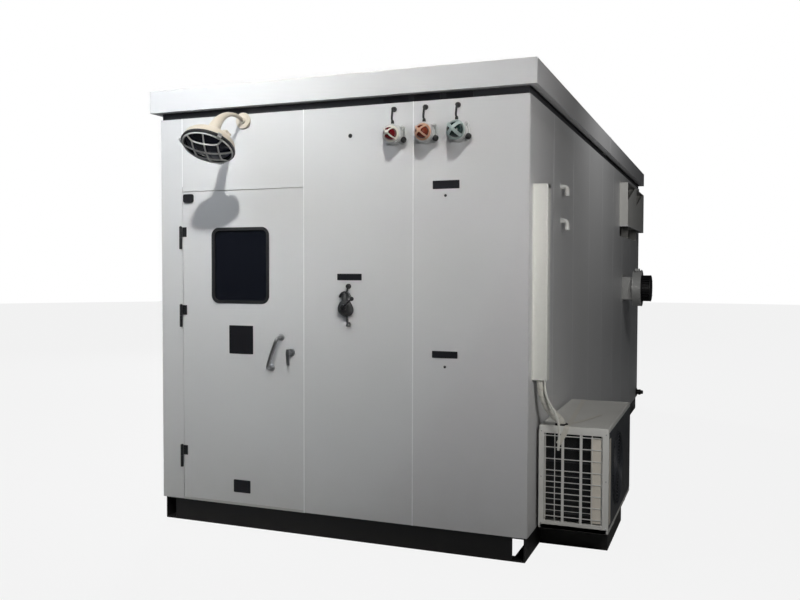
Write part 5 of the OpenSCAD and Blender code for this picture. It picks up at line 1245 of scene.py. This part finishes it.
class SHELTER_OT_outdoor_unit(bpy.types.Operator):
    """Makes the outdoor unit: end frame, top cover, sides, coil, guards and the strip behind the guard"""
    bl_idname = "shelter.outdoor_unit"
    bl_label = "Outdoor unit"

    def execute(self, context):
        end = front_at((UX0 + UX1) / 2, (UZ0 + UZ1 - 0.025) / 2, FRONT - UY0)
        wide, tall = UX1 - UX0, UZ1 - 0.025 - UZ0
        hole = round_rect(0.339, 0.520, 0.006)
        hole = hole + np.array([(1.300 + 1.639) / 2 - (UX0 + UX1) / 2,
                                (0.205 + 0.725) / 2 - (UZ0 + UZ1 - 0.025) / 2])
        frame_shape = ring_plate(round_rect(wide, tall, 0.008), hole, -0.020, 0.0, end)
        up = upright((UX0 + UX1) / 2, (UY0 + UY1) / 2, 0.0)
        deep = UY1 - UY0
        pan = ring_plate(round_rect(wide, deep, 0.010), round_rect(wide - 0.004, deep - 0.004, 0.008), UZ0,
                         UZ0 + 0.0248,
                         up)
        feet = plates([((UX0 + 0.0025, y, 0.1502), (UX1 - 0.0025, y + 0.060, UZ0 + 0.0245))
                       for y in (-2.565, -1.995)])
        floor = prism(round_rect(wide - 0.004, deep - 0.004, 0.008), UZ0 + 0.0225, UZ0 + 0.0248, up)
        rear = plates([((UX0, UY1 - 0.0012, UZ0 + 0.0252), (UX1, UY1, UZ1 - 0.0252))])
        side = side_at(-2.395, 0.465, UX1 - 0.0012 - SIDE)
        a = around(96)
        y_low, y_high = UY0 + 0.0205 + 2.395, UY1 - 0.0014 + 2.395
        z_low, z_high = UZ0 + 0.0252 - 0.465, UZ1 - 0.0252 - 0.465
        ray = np.stack([np.cos(a), np.sin(a)], -1)
        ray = np.where(np.abs(ray) < 1e-6, 1e-6, ray)
        to_y = np.where(ray[:, 0] > 0, y_high / ray[:, 0], y_low / ray[:, 0])
        to_z = np.where(ray[:, 1] > 0, z_high / ray[:, 1], z_low / ray[:, 1])
        outline = ray * np.minimum(to_y, to_z)[:, None]
        for cy in (y_low, y_high):
            for cz in (z_low, z_high):
                near = np.argmin(np.hypot(outline[:, 0] - cy, outline[:, 1] - cz))
                outline[near] = cy, cz
        panel = ring_plate(outline, circle(0.223, 96), 0.0, 0.0012, side)
        bell = lathe([(0.223, 0.0012), (0.2305, 0.0016), (0.2305, 0.0032), (0.222, 0.0042), (0.2155, 0.001),
                      (0.2145, -0.030), (0.2165, -0.030), (0.2175, -0.001)], side, 96, loop=True)
        shapes = [frame_shape, pan, feet, floor, rear]
        piece("outdoor_unit_case", "unit_paint", shapes, bevel=0.0012, stands_for=["condenser_case"])
        # The side panel is the case's own sheet, darkened as painted shade.
        piece("outdoor_unit_side", "unit_paint", [panel, bell], look="unit_side_painted_shade")
        over = smooth([(1.360, -1.722, 0.7712), (1.385, -2.050, 0.7712), (1.412, -2.420, 0.7712),
                       (1.432, -2.700, 0.7712),
                       (1.434, -2.780, 0.7710), (1.432, -2.7985, 0.7620), (1.422, -2.7990, 0.7300),
                       (1.385, -2.8000, 0.6650)], 6)
        under = smooth([(1.560, -2.300, 0.7706), (1.510, -2.500, 0.7706), (1.452, -2.660, 0.7706),
                        (1.400, -2.735, 0.7706)], 6)
        ribbon = np.array([(-0.0006, -0.015), (0.0006, -0.015), (0.0006, 0.015), (-0.0006, 0.015)])
        lean = np.where((over[:, 1] > -2.785)[:, None], (0.0, 0.0, 1.0), (0.0, -1.0, 0.0))
        piece("outdoor_unit_straps", "pipe_tape",
              [sweep(over, ribbon, lean), sweep(under, ribbon * (1, 0.7), (0, 0, 1))], look="strap_cream")
        loops = ((0.0, 0.745, 0.010), (0.0, 0.764, 0.010), (0.003, 0.7690, 0.009), (0.006, 0.770, 0.009),
                 (0.013, 0.770, 0.008), (0.018, 0.7655, 0.008), (0.055, 0.7650, 0.020),
                 (0.062, 0.7675, 0.020))
        lid = capped(placed(levels([(round_rect(wide - 2 * i, deep - 2 * i, r, 8), z) for i, z, r in loops]),
                            up))
        piece("outdoor_unit_top", "unit_paint", [lid], sharp=50.0)
        corner = prism(round_rect(0.062, 0.500, 0.004), 0.0002, 0.0016,
                       side_at(UY0 + 0.054, 0.458, UX1 - SIDE))
        piece("outdoor_unit_corner_strip", "unit_paint", [corner], look="reveal_beige", bevel=0.0005)
        reveal = plates([((1.572, -2.7795, 0.212), (1.6300, -2.7750, 0.712)),
                         ((1.6372, -2.7745, 0.2055), (1.6385, -2.7400, 0.7245)),
                         ((1.3005, -2.7745, 0.2055), (1.3018, -2.7400, 0.7245))])
        piece("outdoor_unit_pale_strip", "unit_paint", [reveal], look="reveal_beige", bevel=0.0008)
        # Painted shade: a near-black sheet set behind the coil where the unit's inside lies in shade.
        dark = plates([((1.3020, -2.7405, 0.2055), (1.6370, -2.7390, 0.7245))])
        piece("outdoor_unit_painted_shade_plate", "coil_fins", [dark], look="shadow_black")
        # The fins take coil_fins, whose near-black colour is painted shade.
        fins = plates([((x, -2.7440, 0.2300), (x + 0.0012, -2.7406, 0.7000))
                       for x in np.arange(1.308, 1.570, 0.0060)])
        tubes = [tube(np.array([(1.3040, -2.7462, z), (1.5700, -2.7462, z)]), 0.0035, 10, (0, 0, 1))
                 for z in np.arange(0.245, 0.700, 0.0760)]
        piece("outdoor_unit_coil", "coil_fins", [fins] + tubes, stands_for=["condenser_coil"])
        wire = context.scene.shelter_sizes.unit_wire
        guard = []
        rungs = np.arange(0.2332, 0.7248, 0.0680)
        for z in rungs:
            guard.append(tube(np.array([(1.3002, -2.7845, z), (1.6388, -2.7845, z)]), wire * 1.15, 12,
                              (0, 0, 1)))
        for z in rungs[:-1] + 0.034:
            if z < 0.50:
                guard.append(tube(np.array([(1.3022, -2.7815, z), (1.5722, -2.7815, z)]), wire * 0.75, 10,
                                  (0, 0, 1)))
        for x in (1.3052, 1.3620, 1.5788, 1.6338):
            guard.append(tube(np.array([(x, -2.7812, 0.2052), (x, -2.7812, 0.7248)]), wire, 12, (1, 0, 0)))
        bars = plates([((x, -2.7905, 0.2055), (x + 0.016, -2.7872, 0.7245)) for x in (1.4022, 1.5082)])
        piece("outdoor_unit_end_guard", "unit_paint", guard + [bars], look="guard_enamel", bevel=0.0004,
              stands_for=["condenser_guards"])
        outlet = []
        for r in np.arange(0.040, 0.222, 0.0200):
            hoop = np.stack([np.full(96, UX1 + 0.0055), -2.395 + r * np.cos(a), 0.465 + r * np.sin(a)], -1)
            outlet.append(sweep(hoop, circle(0.0019, 8), (1, 0, 0), closed=True))
        for k in range(8):
            q = math.pi * k / 4
            c, s = math.cos(q), math.sin(q)
            outlet.append(tube(np.array([(UX1 + 0.0045, -2.395 + r * c, 0.465 + r * s)
                                         for r in (0.030, 0.226)]), 0.0022,
                               10, (1, 0, 0)))
        outlet.append(lathe([(0.034, 0.0026), (0.034, 0.0055), (0.028, 0.0072)], side, 48))
        # The fan guard takes the same painted shade as the side panel.
        piece("outdoor_unit_fan_guard", "unit_paint", outlet, look="unit_side_painted_shade")
        hub = [lathe([(0.012, -0.118), (0.044, -0.118), (0.050, -0.108), (0.050, -0.060), (0.042, -0.046),
                      (0.012, -0.042)],
                     side, 48)]
        r = np.linspace(0.046, 0.204, 14)
        c = np.linspace(-1.0, 1.0, 11)
        share = (r - 0.046) / 0.158
        span = np.radians(46.0 + 12.0 * share)
        for k in range(3):
            one = turned(side, math.radians(120.0 * k))
            sheets = []
            for skin in (0.0014, -0.0014):
                angle = span[:, None] * c + 0.35 * share[:, None] ** 2
                lift = -0.084 + 0.032 * c[None, :] + 0.010 * share[:, None] + skin * (1 - c ** 6)
                sheets.append(np.stack([r[:, None] * np.cos(angle), r[:, None] * np.sin(angle),
                                        np.broadcast_to(lift, angle.shape)], -1))
            blade = np.concatenate([sheets[0], sheets[1][:, ::-1]], axis=1)
            hub.append(capped(placed(blade, one)))
        piece("outdoor_unit_fan", "fan_plastic", hub, body="condenser_rotor", stands_for=["condenser_fan"])
        spots = [(1.285, 0.190), (1.660, 0.190), (1.285, 0.735), (1.660, 0.735), (1.285, 0.465),
                 (1.660, 0.465)]
        screws = [s for x, z in spots for s in screw(front_at(x, z, FRONT - UY0), 0.0040)]
        screws += [s for y in (-2.70, -2.10, -1.75) for s in
                   screw(side_at(y, 0.7575, UX1 - SIDE), 0.0040)]
        piece("outdoor_unit_screws", "handle_steel", screws)
        return {"FINISHED"}


# ---------- Small plates and fittings ----------

class SHELTER_OT_small_fittings(bpy.types.Operator):
    """Makes the blank name plates, the small cable entries and the entry above the hand switch"""
    bl_idname = "shelter.small_fittings"
    bl_label = "Small fittings"

    def execute(self, context):
        blanks = []
        for x0, z0, x1, z1 in ((0.054, 1.616, 0.218, 1.656), (0.674, 2.154, 0.838, 2.203),
                               (0.673, 1.162, 0.830, 1.203)):
            at = front_at((x0 + x1) / 2, (z0 + z1) / 2)
            w, h = x1 - x0, z1 - z0
            blanks.append(prism(round_rect(w, h, 0.003), 0.0005, 0.0020, at))
            blanks.append(ring_plate(round_rect(w, h, 0.003), round_rect(w - 0.009, h - 0.009, 0.002),
                                     0.0020, 0.0028, at))
            for s in (-1, 1):
                blanks += screw(moved(at, s * (w / 2 - 0.009), 0.0, 0.0020), 0.0028)
        for x in (0.357, 0.554, 0.754):
            at = front_at(x + 0.081, 2.695, -0.010)
            blanks.append(prism(round_rect(0.162, 0.0375, 0.003), 0.0005, 0.0045, at))
            blanks.append(ring_plate(round_rect(0.162, 0.0375, 0.003), round_rect(0.153, 0.0285, 0.002),
                                     0.0045, 0.0055,
                                     at))
        piece("blank_name_plates", "plate_black", blanks, bevel=0.0003, stands_for=["nameplates"])
        door = []
        for x0, z0, x1, z1, r, t in ((-1.069, 2.122, -0.993, 2.176, 0.012, 0.012),
                                     (-0.723, 1.135, -0.545, 1.319, 0.004, 0.002),
                                     (-0.694, 0.229, -0.569, 0.312, 0.005, 0.003)):
            at = front_at((x0 + x1) / 2, (z0 + z1) / 2)
            w, h = x1 - x0, z1 - z0
            door.append(prism(round_rect(w, h, r), 0.0005, t, at))
            door.append(ring_plate(round_rect(w - 0.004, h - 0.004, r * 0.8),
                                   round_rect(w - 0.016, h - 0.016, r * 0.6),
                                   t, t + 0.0012, at))
            for sx in (-1, 1):
                for sz in (-1, 1):
                    door += screw(moved(at, sx * (w / 2 - 0.0135), sz * (h / 2 - 0.0135), t), 0.0026)
        piece("door_blank_plates", "plate_black", door, body="door", bevel=0.0003,
              stands_for=["door_plates"])
        entries = []
        for x, z, r in ((0.753, 2.115, 0.008), (0.753, 1.110, 0.008), (0.142, 2.495, 0.013)):
            entries.append(lathe([(r, 0.0005), (r, 0.003), (r * 0.85, 0.0042), (r * 0.62, 0.0046),
                                  (r * 0.55, 0.0095),
                                  (r * 0.35, 0.0105)], front_at(x, z), 28))
        entries.append(lathe([(0.016, 0.0005), (0.016, 0.010), (0.0125, 0.0125), (0.0115, 0.022),
                              (0.008, 0.025)],
                             front_at(0.132, 1.579), 28))
        lead = np.array([(0.132, FRONT - 0.017, 1.580), (0.131, FRONT - 0.0175, 1.565),
                         (0.127, FRONT - 0.0175, 1.548),
                         (0.119, FRONT - 0.018, 1.533)])
        entries.append(tube(smooth(lead, 6), 0.0056, 16, (1, 0, 0)))
        piece("cable_entries", "cable_black", entries, stands_for=["wall_fittings"])
        return {"FINISHED"}


# ---------- Panel and registration ----------

STEPS = (SHELTER_OT_finishes, SHELTER_OT_studio, SHELTER_OT_drain_hose, SHELTER_OT_pipe_bundle,
         SHELTER_OT_roof,
         SHELTER_OT_sealant, SHELTER_OT_floodlight, SHELTER_OT_beacons, SHELTER_OT_hand_switch,
         SHELTER_OT_door_hardware, SHELTER_OT_raceway, SHELTER_OT_vent_elbows, SHELTER_OT_vent_hood,
         SHELTER_OT_exhaust_fan, SHELTER_OT_supply_gland, SHELTER_OT_outdoor_unit, SHELTER_OT_small_fittings)


class SHELTER_PT_looks(bpy.types.Panel):
    """Lists the pieces of the shelter and the values that they use"""
    bl_idname = "SHELTER_PT_looks"
    bl_label = "Equipment shelter"
    bl_space_type = "VIEW_3D"
    bl_region_type = "UI"
    bl_category = "Shelter"

    def draw(self, context):
        for values in (context.scene.shelter_sizes, context.scene.shelter_colours,
                       context.scene.shelter_studio):
            box = self.layout.box()
            for name in values.__annotations__:
                box.prop(values, name)
        for step in STEPS:
            self.layout.operator(step.bl_idname)


CLASSES = (ShelterSizes, ShelterColours, StudioSettings, *STEPS, SHELTER_PT_looks)


def register():
    """Registers the classes and hangs the values on the scene."""
    for one in CLASSES:
        bpy.utils.register_class(one)
    bpy.types.Scene.shelter_sizes = PointerProperty(type=ShelterSizes)
    bpy.types.Scene.shelter_colours = PointerProperty(type=ShelterColours)
    bpy.types.Scene.shelter_studio = PointerProperty(type=StudioSettings)


def unregister():
    """Takes the values and the classes away again."""
    del bpy.types.Scene.shelter_studio, bpy.types.Scene.shelter_colours, bpy.types.Scene.shelter_sizes
    for one in reversed(CLASSES):
        bpy.utils.unregister_class(one)


def main():
    """Builds everything in order."""
    register()
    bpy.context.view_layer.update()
    for step in STEPS:
        group, name = step.bl_idname.split(".")
        getattr(getattr(bpy.ops, group), name)()


if __name__ == "__main__":
    main()
